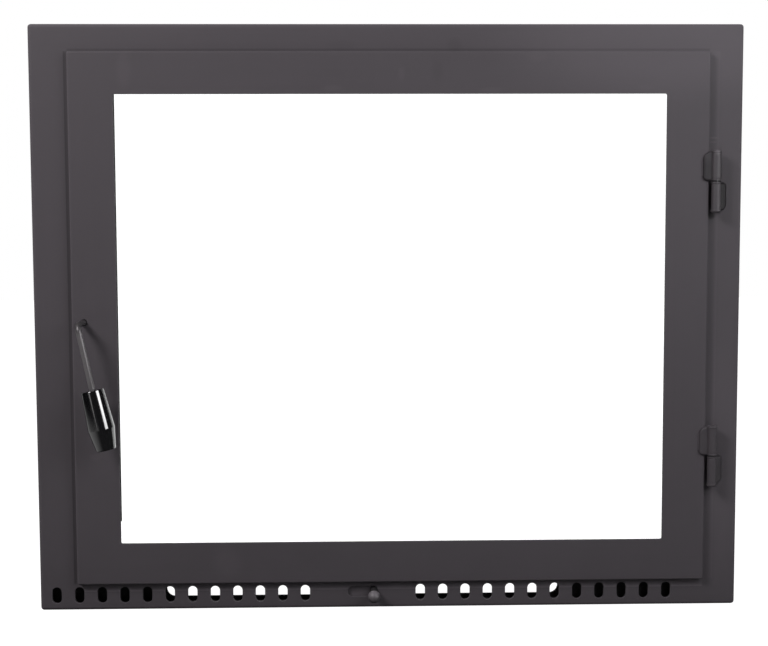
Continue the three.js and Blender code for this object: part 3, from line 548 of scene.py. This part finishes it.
def knob_paint():
    """The same dark paint on the knob, rubbed smoother by fingers; its colour is lighter than the
    frame's and lighter towards its top, a painted highlight, and darker below, painted shade.
    """
    look = Look("knob_satin", Metallic=0.0, Specular_IOR_Level=0.5)
    fine = look.noise(look.place, 1300, 2, 0.6)
    worn = look.noise(look.place, 160, 3, 0.6)
    low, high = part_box("air_knob_ball")
    height = look.add("ShaderNodeSeparateXYZ", {0: look.place}).outputs["Z"]
    # painted light and shade: darker at the bottom, lighter at the top
    painted_top_light = look.span(height, low.z + 2 * MM, high.z, 0.58, 1.75)
    tone = look.maths("MULTIPLY", look.total(1.0, [(worn, 0.22), (fine, 0.10)]), painted_top_light)
    rough = look.total(0.42, [(worn, 0.16), (fine, 0.08)])
    relief = look.bump(fine, 0.02 * MM, 0.35)
    return look.set(Base_Color=look.tinted(KNOB_COLOUR, tone), Roughness=rough, Normal=relief)


def clear_glass():
    """Clear ceramic glass with the faint waves of rolled sheet and a trace of wiping in its tint."""
    look = Look(
        "ceramic_glass", Transmission_Weight=1.0, IOR=1.45, Specular_IOR_Level=0.5, Roughness=0.0,
    )
    wiped = look.noise(look.stretched(look.place, (14, 14, 40)), 1, 3)
    waves = look.noise(look.place, 9, 2)
    relief = look.bump(waves, 0.01 * MM, 0.1)
    tone = look.total(0.995, [(wiped, 0.01)])
    return look.set(Base_Color=look.tinted(GLASS_COLOUR, tone), Normal=relief)


def woven(name, colour, warp, weft):
    """Woven glass tape: warp and weft threads that pass over and under each other."""
    look = Look(name, Metallic=0.0, Sheen_Weight=0.3, Sheen_Roughness=0.4, Specular_IOR_Level=0.3)
    threads = []
    for scale, way in ((warp, "X"), (weft, "Z")):
        inputs = {"Vector": look.place, "Scale": scale}
        wave = look.add("ShaderNodeTexWave", inputs, bands_direction=way, wave_profile="SIN")
        threads.append(wave.outputs["Fac"])
    weave = look.maths("MULTIPLY", *threads)
    fuzz = look.noise(look.place, 700, 3, 0.6)
    soil = look.noise(look.place, 30, 3)
    tone = look.total(1.0, [(weave, 0.35), (fuzz, 0.2), (soil, 0.25)])
    relief = look.bump(weave, 0.25 * MM, 0.8)
    relief = look.bump(fuzz, 0.08 * MM, 0.6, relief)
    return look.set(Base_Color=look.tinted(colour, tone), Roughness=0.92, Normal=relief)


def make_finishes():
    return {
        "face_paint": paint("stove_paint", PAINT_COLOUR, PAINT_WEAR_AND_PAINTED_LIGHT),
        "frame_paint": paint("stove_paint_frame", PAINT_COLOUR, PAINT_WEAR_AND_PAINTED_LIGHT, bands=FRAME_PAINTED_LIGHT_BANDS),
        "leaf_paint": paint("stove_paint_leaf", PAINT_COLOUR, PAINT_WEAR_AND_PAINTED_LIGHT, bands=LEAF_PAINTED_HIGHLIGHT_BANDS),
        "hinge_paint": paint("stove_paint_hinge", HINGE_COLOUR, HINGE_CAP_PAINTED_HIGHLIGHT, 0.48, shine=0.5),
        "hinge_dull": paint("stove_paint_hinge_dull", HINGE_DULL_COLOUR, (), 0.55),
        "tail_dark": paint("stove_paint_tail_dark", TAIL_DEEP_SHADED_COLOUR, TAIL_PAINTED_SHADOWS_UPPER, 0.5),
        "tail_paint": paint("stove_paint_tail", TAIL_SHADED_COLOUR, TAIL_PAINTED_SHADOW_LOWER, 0.55),
        "slide_paint": paint("stove_paint_slide", SLIDE_LIT_COLOUR, (), 0.6),
        "face_edge": paint("stove_paint_edge", EDGE_WEAR_AND_HIGHLIGHT_COLOUR, (), 0.5),
        "inner_paint": paint("inner_paint", INNER_COLOUR, (), 0.7, 0.1, 0.2, 0.12),
        "bare_steel": zinc(),
        "rod_steel": rod_steel(),
        "grip_black": grip_black(),
        "knob_black": knob_paint(),
        "clear_glass": clear_glass(),
        "seal_tape": woven("glass_tape", TAPE_COLOUR, 160.0, 160.0),
        "seal_rope": woven("glass_rope", ROPE_COLOUR, 420.0, 420.0),
    }


# ---------------------------------------------------------------- shape tools


def new_piece(name, points, faces):
    mesh = bpy.data.meshes.new(name)
    mesh.from_pydata([tuple(p) for p in points], [], faces)
    shape = bmesh.new()
    shape.from_mesh(mesh)
    bmesh.ops.recalc_face_normals(shape, faces=shape.faces)
    shape.to_mesh(mesh)
    shape.free()
    mesh.shade_smooth()
    piece = bpy.data.objects.new(name, mesh)
    bpy.context.scene.collection.objects.link(piece)
    return piece


def dressed(piece, slot, *nodes, body=None, finish=None, second=None):
    """Gives a piece its finish and the body it rides on, and hides the CAD nodes it stands for."""
    piece.data.materials.append(FINISHES[finish or slot])
    if second:
        piece.data.materials.append(FINISHES[second])
    normals = piece.modifiers.new("flats", "WEIGHTED_NORMAL")
    normals.weight = 100
    normals.keep_sharp = True
    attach(piece, body or NODES[nodes[0]]["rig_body"])
    if nodes:
        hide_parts(*nodes)
    return piece


def faced(node, slot, edge=EDGE, finish=None, second=None):
    """The CAD node with its cut edges broken and its bends smooth."""
    shape = bmesh.new()
    shape.from_mesh(NODES[node].data)
    bmesh.ops.remove_doubles(shape, verts=shape.verts, dist=1e-6)
    points = [v.co.copy() for v in shape.verts]
    faces = [[v.index for v in f.verts] for f in shape.faces]
    shape.free()
    piece = new_piece(node + "_fine", points, faces)
    bevel = piece.modifiers.new("edges", "BEVEL")
    bevel.width = edge
    bevel.segments = EDGE_STEPS
    bevel.limit_method = "ANGLE"
    bevel.angle_limit = BEND_SMOOTH
    bevel.use_clamp_overlap = False
    bevel.loop_slide = False
    if second:
        bevel.material = 1
    return dressed(piece, slot, node, finish=finish, second=second)


def bridged(rings, loop=False):
    """A closed skin through rings with equal counts. A ring of one point is a tip."""
    points, faces, starts = [], [], []
    for ring in rings:
        starts.append(len(points))
        points.extend(ring)
    spans = list(range(len(rings) - 1)) + ([len(rings) - 1] if loop else [])
    for i in spans:
        j = (i + 1) % len(rings)
        a, b = starts[i], starts[j]
        count = max(len(rings[i]), len(rings[j]))
        for k in range(count):
            n = (k + 1) % count
            if len(rings[i]) == 1:
                faces.append((a, b + n, b + k))
            elif len(rings[j]) == 1:
                faces.append((a + k, a + n, b))
            else:
                faces.append((a + k, a + n, b + n, b + k))
    if not loop:
        for ring, start, turn in ((rings[0], starts[0], -1), (rings[-1], starts[-1], 1)):
            if len(ring) > 1:
                faces.append(tuple(range(start, start + len(ring)))[::turn])
    return points, faces


def circle(radius, along, sides=SIDES):
    if radius <= 0:
        return [Vector((0, 0, along))]
    turns = [2 * math.pi * i / sides for i in range(sides)]
    return [Vector((radius * math.cos(t), radius * math.sin(t), along)) for t in turns]


def hexagon(corner_radius, along, limit=math.inf, sides=SIDES):
    """A hexagon as a ring of many points, its corners cut back to a circle of radius limit"""
    ring = []
    for i in range(sides):
        turn = 2 * math.pi * i / sides
        off_flat = (turn % (math.pi / 3)) - math.pi / 6
        radius = min(corner_radius * math.cos(math.pi / 6) / math.cos(off_flat), limit)
        ring.append(Vector((radius * math.cos(turn), radius * math.sin(turn), along)))
    return ring


def filleted(points, radii, steps=5):
    """A profile with its inner corners rounded, each by its own radius"""
    corners = [Vector(p) for p in points]
    result = [corners[0]]
    for before, corner, after, radius in zip(corners, corners[1:], corners[2:], radii):
        a = (before - corner).normalized()
        b = (after - corner).normalized()
        half = a.angle(b) / 2
        if radius <= 0 or half > math.radians(89.5):
            result.append(corner)
            continue
        reach = radius / math.tan(half)
        start, end = corner + a * reach, corner + b * reach
        centre = corner + (a + b).normalized() * (radius / math.sin(half))
        for k in range(steps + 1):
            way = (start - centre).lerp(end - centre, k / steps)
            result.append(centre + way.normalized() * radius)
    result.append(corners[-1])
    return result


def turned(profile, sides=SIDES, loop=False):
    return bridged([circle(p[0], p[1], sides) for p in profile], loop)


def placed(shape, matrix):
    points, faces = shape
    return [matrix @ Vector(p) for p in points], faces


def facing(origin, direction, across=(1, 0, 0)):
    """A frame at origin whose Z runs along direction and whose X is as near to across as can be"""
    z = Vector(direction).normalized()
    x = Vector(across)
    x = (x - z * x.dot(z)).normalized()
    turn = Matrix((x, z.cross(x), z)).transposed().to_4x4()
    return Matrix.Translation(origin) @ turn


def swept(path, section):
    """A skin round a path in one plane; section gives (across, up) points, made afresh for each step"""
    rings = []
    for i, point in enumerate(path):
        before, after = path[max(i - 1, 0)], path[min(i + 1, len(path) - 1)]
        rings.append([point + offset for offset in section(i, (after - before).normalized())])
    return bridged(rings)


# ---------------------------------------------------------------- handle

# The grip's radius and its place along it, in millimetres, from the bottom of its bore to its far end
GRIP_LENGTH = 59.5
GRIP_END_RADIUS = 9.5
GRIP_PROFILE = [
    (0, 45), (3.4, 45), (3.4, 0.5), (3.9, 0), (11, 0), (13, 38.5),
    (GRIP_END_RADIUS, GRIP_LENGTH), (2.4, GRIP_LENGTH), (0, 59.1),
]
GRIP_ROUNDING = [0, 0, 0, 1.0, 0.5, 1.3, 0]
GRIP_SIDES = 96


def handle_rod():
    low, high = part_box("handle_rod")
    elbow_y = low.y + ROD_RADIUS
    start_y = high.y
    arm = Vector((math.sin(HANDLE_LEAN), 0, -math.cos(HANDLE_LEAN)))
    elbow = Vector((SPINDLE.x, elbow_y, SPINDLE.z))
    length = (SPINDLE.z - low.z) / math.cos(HANDLE_LEAN) - ROD_RADIUS * math.tan(HANDLE_LEAN)
    back = Vector((0, 1, 0))
    path = [elbow + back * (start_y - elbow_y), elbow + back * (start_y - elbow_y - ROD_CHAMFER)]
    centre = elbow + back * ROD_BEND + arm * ROD_BEND
    for i in range(ROD_BEND_STEPS + 1):
        turn = math.pi / 2 * i / ROD_BEND_STEPS
        path.append(centre - arm * ROD_BEND * math.cos(turn) - back * ROD_BEND * math.sin(turn))
    path.append(elbow + arm * length)
    side = back.cross(arm).normalized()

    def section(i, heading):
        radius = ROD_RADIUS * (ROD_END if i == 0 else 1)
        up = side.cross(heading)
        turns = [2 * math.pi * k / ROD_SIDES for k in range(ROD_SIDES)]
        return [side * radius * math.cos(t) + up * radius * math.sin(t) for t in turns]

    return dressed(new_piece("bent_rod", *swept(path, section)), "rod_steel", "handle_rod")


def handle_grip():
    low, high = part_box("handle_grip")
    arm = Vector((math.sin(HANDLE_LEAN), 0, -math.cos(HANDLE_LEAN)))
    y = (low.y + high.y) / 2
    end = SPINDLE.z - (low.z + GRIP_END_RADIUS * MM * math.sin(HANDLE_LEAN))
    start = end / math.cos(HANDLE_LEAN) - GRIP_LENGTH * MM
    origin = Vector((SPINDLE.x, y, SPINDLE.z)) + arm * start
    profile = [(r * MM, a * MM) for r, a in GRIP_PROFILE]
    profile = filleted(profile, [r * MM for r in GRIP_ROUNDING])
    shape = placed(turned(profile, GRIP_SIDES), facing(origin, arm, (0, -1, 0)))
    return dressed(new_piece("turned_grip", *shape), "grip_black", "handle_grip")


def hex_nut(name, node, corner_radius, bore, slot):
    """A nut with its corners chamfered at both ends, on an axis along Y"""
    low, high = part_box(node)
    thick = high.y - low.y
    chamfer = corner_radius * 0.882
    rounded = corner_radius * 0.97
    rings = [
        circle(bore, 0), circle(chamfer, 0), hexagon(corner_radius, 0.14 * thick, rounded),
        hexagon(corner_radius, 0.24 * thick), hexagon(corner_radius, 0.76 * thick),
        hexagon(corner_radius, 0.86 * thick, rounded), circle(chamfer, thick), circle(bore, thick),
    ]
    middle = (low + high) / 2
    shape = placed(bridged(rings, True), facing((middle.x, low.y, middle.z), (0, 1, 0)))
    piece = dressed(new_piece(name, *shape), slot, node)
    piece.data.set_sharp_from_angle(angle=math.radians(25))
    return piece


def latch():
    faced("latch_cam", "bare_steel", 0.35 * MM)
    faced("spindle_spacer", "bare_steel", 0.25 * MM)
    faced("spindle_bush", "bare_steel", 0.3 * MM)
    hex_nut("spindle_hex_nut", "spindle_nut", 4.5 * MM, 3.3 * MM, "bare_steel")


# ---------------------------------------------------------------- air slide


def air_slide():
    faced("air_slide_plate", "face_paint", finish="slide_paint")
    hex_nut("slide_hex_nut", "air_knob_nut", 3.5 * MM, 2.3 * MM, "bare_steel")
    low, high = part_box("air_knob_ball")
    radius = (high.x - low.x) / 2
    middle = Vector(((low.x + high.x) / 2, low.y + radius, (low.z + high.z) / 2))
    seat = high.y - middle.y
    steps = 28
    flat_turn = math.acos(seat / radius)
    profile = []
    for i in range(steps + 1):
        turn = math.pi - (math.pi - flat_turn) * i / steps
        profile.append((radius * math.sin(turn) if i else 0, radius * math.cos(turn)))
    profile.append((0, seat))
    ball = placed(turned(profile), facing(middle, (0, 1, 0)))
    dressed(new_piece("slide_knob", *ball), "knob_black", "air_knob_ball")
    low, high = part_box("air_knob_stem")
    length = high.y - low.y
    stem_radius = (high.x - low.x) / 2
    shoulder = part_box("air_slide_plate")[0].y - SEAT_GAP - low.y
    stud = 2 * MM
    rounding = 0.3 * MM
    profile = filleted(
        [(0, 0), (stem_radius, 0), (stem_radius, shoulder), (stud, shoulder), (stud, length),
         (0, length)],
        [rounding, rounding, 0, rounding],
    )
    stem = placed(turned(profile), facing((middle.x, low.y, middle.z), (0, 1, 0)))
    piece = new_piece("slide_knob_stem", *stem)
    dressed(piece, "knob_black", "air_knob_stem", finish="inner_paint")
    piece.data.set_sharp_from_angle(angle=math.radians(40))


# ---------------------------------------------------------------- glazing and seal


def glazing():
    faced("glass_pane", "clear_glass", 0.5 * MM)
    for node in ("glass_tape_front", "glass_tape_rear"):
        faced(node, "seal_tape", 0.35 * MM)
    for side in ("top", "bottom", "left", "right"):
        faced("glass_retainer_" + side, "inner_paint", 0.3 * MM)
    for bar in ("top", "bottom", "right", "left_upper", "left_lower"):
        faced("window_bar_" + bar, "inner_paint", 0.5 * MM)
    for node in [n for n in NODES if n.startswith("retainer_screw_")]:
        retainer_screw(node)


def retainer_screw(node):
    """Button-head screw: domed head with a hexagon socket, its head towards the room behind the door"""
    low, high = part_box(node)
    length = high.y - low.y
    head = 2.6 * MM
    radius = (high.x - low.x) / 2
    neck = length - head
    shank = 2 * MM
    socket = 1.5 * MM
    crown = socket * 1.15
    steps = 6
    last = math.radians(82)
    dome = []
    for i in range(steps + 1):
        turn = last * i / steps
        rise = (head - 0.5 * MM) * math.sin(turn) / math.sin(last)
        dome.append((crown + (radius - crown) * math.cos(turn), neck + 0.5 * MM + rise))
    profile = [(0, 0), (shank * 0.75, 0), (shank, 0.5 * MM), (shank, neck), (radius, neck)]
    rings = [circle(r, a) for r, a in profile + dome]
    rings += [hexagon(socket, length - depth * MM) for depth in (0.15, 1.6)]
    rings.append(circle(0, length - 1.8 * MM))
    middle = (low + high) / 2
    shape = placed(bridged(rings), facing((middle.x, low.y, middle.z), (0, 1, 0)))
    piece = dressed(new_piece(node + "_fine", *shape), "bare_steel", node)
    piece.data.set_sharp_from_angle(angle=math.radians(50))


def rounded_loop(left, right, bottom, top, radius, step):
    """Points and headings once round a rectangle with rounded corners, in X and Z"""
    loop = []
    corners = [
        (right - radius, bottom + radius, -90), (right - radius, top - radius, 0),
        (left + radius, top - radius, 90), (left + radius, bottom + radius, 180),
    ]
    start = Vector((left + radius, 0, bottom))
    for x, z, turn in corners:
        first = math.radians(turn)
        arc_start = Vector((x + radius * math.cos(first), 0, z + radius * math.sin(first)))
        run = arc_start - start
        count = max(1, round(run.length / step))
        outward = Vector((math.cos(first), 0, math.sin(first)))
        loop += [(start + run * i / count, outward) for i in range(count)]
        arcs = max(2, round(radius * math.pi / 2 / step))
        for i in range(arcs):
            angle = first + math.pi / 2 * i / arcs
            outward = Vector((math.cos(angle), 0, math.sin(angle)))
            loop.append((Vector((x, 0, z)) + outward * radius, outward))
        last = first + math.pi / 2
        start = Vector((x + radius * math.cos(last), 0, z + radius * math.sin(last)))
    return loop


def rope_seal():
    """Plaited glass rope pressed into its channel: two sets of strands that cross each other"""
    low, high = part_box("door_rope_seal")
    half_wide = ROPE_HALF_WIDE
    half_deep = (high.y - low.y) / 2
    middle_y = (high.y + low.y) / 2
    left, right = low.x + half_wide, high.x - half_wide
    bottom, top = low.z + half_wide, high.z - half_wide
    loop = rounded_loop(left, right, bottom, top, ROPE_CORNER, ROPE_STEP)
    turns = round(len(loop) * ROPE_STEP / ROPE_PLAIT)
    rings = []
    for i, (point, outward) in enumerate(loop):
        phase = 2 * math.pi * turns * i / len(loop)
        ring = []
        for k in range(ROPE_SECTION_STEPS):
            angle = 2 * math.pi * k / ROPE_SECTION_STEPS
            c, s = math.cos(angle), math.sin(angle)
            across = math.copysign(abs(c) ** ROPE_SQUARENESS, c)
            deep = math.copysign(abs(s) ** ROPE_SQUARENESS, s)
            one = math.cos(ROPE_STRANDS * angle + phase)
            other = math.cos(ROPE_STRANDS * angle - phase)
            sunk = ROPE_RELIEF * (1 - max(one, other)) / 2
            wide = (half_wide - sunk) * across
            depth = (half_deep - sunk) * deep
            ring.append(point + outward * wide + Vector((0, middle_y + depth, 0)))
        rings.append(ring)
    return dressed(new_piece("plaited_rope", *bridged(rings, True)), "seal_rope", "door_rope_seal")


# ---------------------------------------------------------------- hinges and welds


def weld_bead(name, path, normal, body, slot="face_paint", radius=BEAD_RADIUS):
    """A rippled weld bead along a path: a low half round that swells with each ripple"""
    length = sum((b - a).length for a, b in zip(path, path[1:]))
    steps = max(6, round(length / (BEAD_RIPPLE / BEAD_RIPPLE_STEPS)))
    turns = [2 * math.pi * k / BEAD_SIDES for k in range(BEAD_SIDES)]
    rings = []
    for i in range(steps + 1):
        point, heading = along_path(path, length * i / steps)
        side = heading.cross(normal).normalized()
        ends = min(i, steps - i) / steps * length
        taper = math.sqrt(max(0.0, 1 - max(0.0, 1 - ends / radius) ** 2))
        ripple = BEAD_SWELL * math.cos(2 * math.pi * length * i / steps / BEAD_RIPPLE)
        swell = (1 - BEAD_SWELL + ripple) * radius * max(taper, BEAD_TIP)
        across, up = side * swell, normal * swell * BEAD_HEIGHT
        rings.append([point + across * math.cos(t) + up * math.sin(t) for t in turns])
    return dressed(new_piece(name, *bridged(rings)), slot, body=body)


def along_path(path, distance):
    for a, b in zip(path, path[1:]):
        run = (b - a).length
        if distance <= run:
            return a.lerp(b, distance / run), (b - a).normalized()
        distance -= run
    return path[-1], (path[-1] - path[-2]).normalized()


def hinges():
    for level in ("upper", "lower"):
        hinge_half(level, "door", 1)
        hinge_half(level, "frame", -1)
        hinge_pin(level)
        hinge_washer(level)
        hinge_welds(level)


def hinge_half(level, half, way):
    """A turned barrel with a crimped split end and a capped end, and the tail that welds it down.
    way is 1 for the door's half, its closed end up and its tail to the left, and -1 for the frame's."""
    node = f"hinge_barrel_{half}_{level}"
    low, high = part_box(node)
    axis = Vector(JOINTS["door_swing"]["pos_m"])
    split = low.z if way > 0 else high.z
    length = high.z - low.z
    r, bore = BARREL_RADIUS, PIN_BORE
    profile = [
        (0, length - BARREL_WALL), (bore, length - BARREL_WALL), (bore, 0.3 * MM), (bore + 0.3 * MM, 0),
        (r - 0.35 * MM, 0), (r, 0.35 * MM), (r, 1.5 * MM), (r - CRIMP, 2.1 * MM), (r, 2.7 * MM),
        (r, length - 2.9 * MM), (r + CRIMP, length - 2.6 * MM), (r + CRIMP, length - 1.3 * MM),
        (r - CRIMP, length), (0, length),
    ]
    rounding = [mm * MM for mm in (0, 0, 0, 0, 0.2, 0.3, 0.3, 0.3, 0.2, 0.2, 0.4, 0.5)]
    stand = Matrix.Translation((axis.x, axis.y, split)) @ Matrix.Diagonal((way, 1, way, 1))
    points, faces = placed(turned(filleted(profile, rounding, 3)), stand)
    tail_points, tail_faces = placed(hinge_tail(half, length), stand)
    faces += [tuple(i + len(points) for i in face) for face in tail_faces]
    piece = new_piece(node + "_fine", points + tail_points, faces)
    piece.data.set_sharp_from_angle(angle=math.radians(50))
    # the tails get the darker copies of the paint, painted shade
    finish, second = ("hinge_paint", "tail_dark") if level == "upper" else ("hinge_dull", "tail_paint")
    dressed(piece, "face_paint", node, finish=finish, second=second)
    barrel_faces = len(faces) - len(tail_faces)
    for face in piece.data.polygons[barrel_faces:]:
        face.material_index = 1


def hinge_tail(half, length):
    """A welded-down wing with rounded far corners and broken edges, left of the barrel. Its end at
    the hinge's split is at 0."""
    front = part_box("door_leaf" if half == "door" else "frame_face")[0].y
    seat = front - JOINTS["door_swing"]["pos_m"][1] - SEAT_GAP
    tip, root, top = -TAIL_REACH, -1.5 * MM, length - TAIL_SHORT
    outline = [Vector((root, 0, 0)), Vector((tip, 0, 0)), Vector((tip, 0, top)), Vector((root, 0, top))]
    outline = filleted(outline, [TAIL_CORNER_SPLIT, TAIL_CORNER_CLOSED], 14)
    rings = []
    for depth, inset in [(d * MM, i * MM) for d, i in TAIL_EDGE]:
        ring = []
        for point in outline:
            x = max(point.x, tip + inset * (point.x < root))
            z = point.z + (top / 2 - point.z) * inset / (top / 2)
            rise = tail_climb(half, x, seat) * depth / TAIL_SHEET
            ring.append(Vector((x, seat - depth - rise, z)))
        rings.append(ring)
    return bridged(rings)


def tail_climb(half, x, seat):
    """How much thicker a wing gets towards its barrel: the frame's half has to climb to it"""
    if half == "door":
        return 0
    share = (x + TAIL_REACH) / (TAIL_REACH - BARREL_RADIUS)
    return max(0, min(1, share)) * (seat - TAIL_SHEET)


def hinge_pin(level):
    node = "hinge_pin_" + level
    low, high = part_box(node)
    radius = (high.x - low.x) / 2
    length = high.z - low.z
    profile = filleted([(0, 0), (radius, 0), (radius, length), (0, length)], [0.4 * MM, 1.4 * MM])
    middle = (low + high) / 2
    shape = placed(turned(profile, 40), Matrix.Translation((middle.x, middle.y, low.z)))
    return dressed(new_piece(node + "_fine", *shape), "bare_steel", node)


def hinge_washer(level):
    node = "hinge_washer_" + level
    low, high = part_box(node)
    radius = (high.x - low.x) / 2
    thick = high.z - low.z
    bore = PIN_BORE
    rim = 0.12 * MM
    profile = [
        (bore, rim), (bore + rim, 0), (radius - rim, 0), (radius, rim),
        (radius, thick - rim), (radius - rim, thick), (bore + rim, thick), (bore, thick - rim),
    ]
    middle = (low + high) / 2
    shape = placed(turned(profile, 48, True), Matrix.Translation((middle.x, middle.y, low.z)))
    return dressed(new_piece(node + "_fine", *shape), "bare_steel", node, finish="inner_paint")


def hinge_welds(level):
    """A bead down the far edge of each half's tail, where it lies on the leaf or on the frame's face"""
    low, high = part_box("hinge_barrel_door_" + level)
    leaf_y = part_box("door_leaf")[0].y
    toward = Vector((0, -1, 0))
    beside = 0.25 * MM
    x = low.x - beside
    top = high.z - TAIL_SHORT - TAIL_CORNER_CLOSED
    path = [Vector((x, leaf_y, low.z + TAIL_CORNER_SPLIT)), Vector((x, leaf_y, top))]
    weld_bead("weld_hinge_door_" + level, path, toward, "door")
    low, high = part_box("hinge_barrel_frame_" + level)
    face_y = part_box("frame_face")[0].y
    x = high.x + beside
    bottom = low.z + TAIL_SHORT + TAIL_CORNER_CLOSED
    path = [Vector((x, face_y, bottom)), Vector((x, face_y, high.z - TAIL_CORNER_SPLIT))]
    weld_bead("weld_hinge_frame_" + level, path, toward, "frame")


# ---------------------------------------------------------------- frame and tunnel


def frame_and_tunnel():
    faced("frame_face", "face_paint", EDGE, "frame_paint", "face_edge")
    faced("frame_back_plate", "inner_paint")
    for node in ("tunnel_floor", "tunnel_roof", "tunnel_cheek_left", "tunnel_cheek_right"):
        faced(node, "inner_paint")
    for side in ("left", "right"):
        for level in ("lower", "upper"):
            faced(f"anchor_lug_{side}_{level}", "bare_steel", 0.4 * MM)
    faced("latch_keeper", "inner_paint", 0.4 * MM)
    faced("slide_guide_top", "inner_paint")
    faced("slide_guide_bottom", "inner_paint")
    tunnel_welds()


def tunnel_welds():
    """Beads along the tunnel's four corners"""
    floor_low, floor_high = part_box("tunnel_floor")
    roof_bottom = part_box("tunnel_roof")[0].z
    front, rear = floor_low.y + 2 * MM, floor_high.y - 2 * MM
    for side, x, out in (("left", floor_low.x, -1), ("right", floor_high.x, 1)):
        for level, z in (("floor", floor_high.z), ("roof", roof_bottom)):
            path = [Vector((x, front, z)), Vector((x, rear, z))]
            name = f"weld_tunnel_{level}_{side}"
            weld_bead(name, path, Vector((out, 0, 0)), "frame", "inner_paint", BEAD_RADIUS_FINE)


def door_leaf():
    faced("door_leaf", "face_paint", EDGE, "leaf_paint", "face_edge")


# ---------------------------------------------------------------- everything

scene = bpy.context.scene
scene.view_settings.view_transform = "Standard"
make_camera()
make_lamps()
make_world()
make_floor()
FINISHES = make_finishes()
frame_and_tunnel()
door_leaf()
glazing()
rope_seal()
hinges()
air_slide()
handle_rod()
handle_grip()
latch()
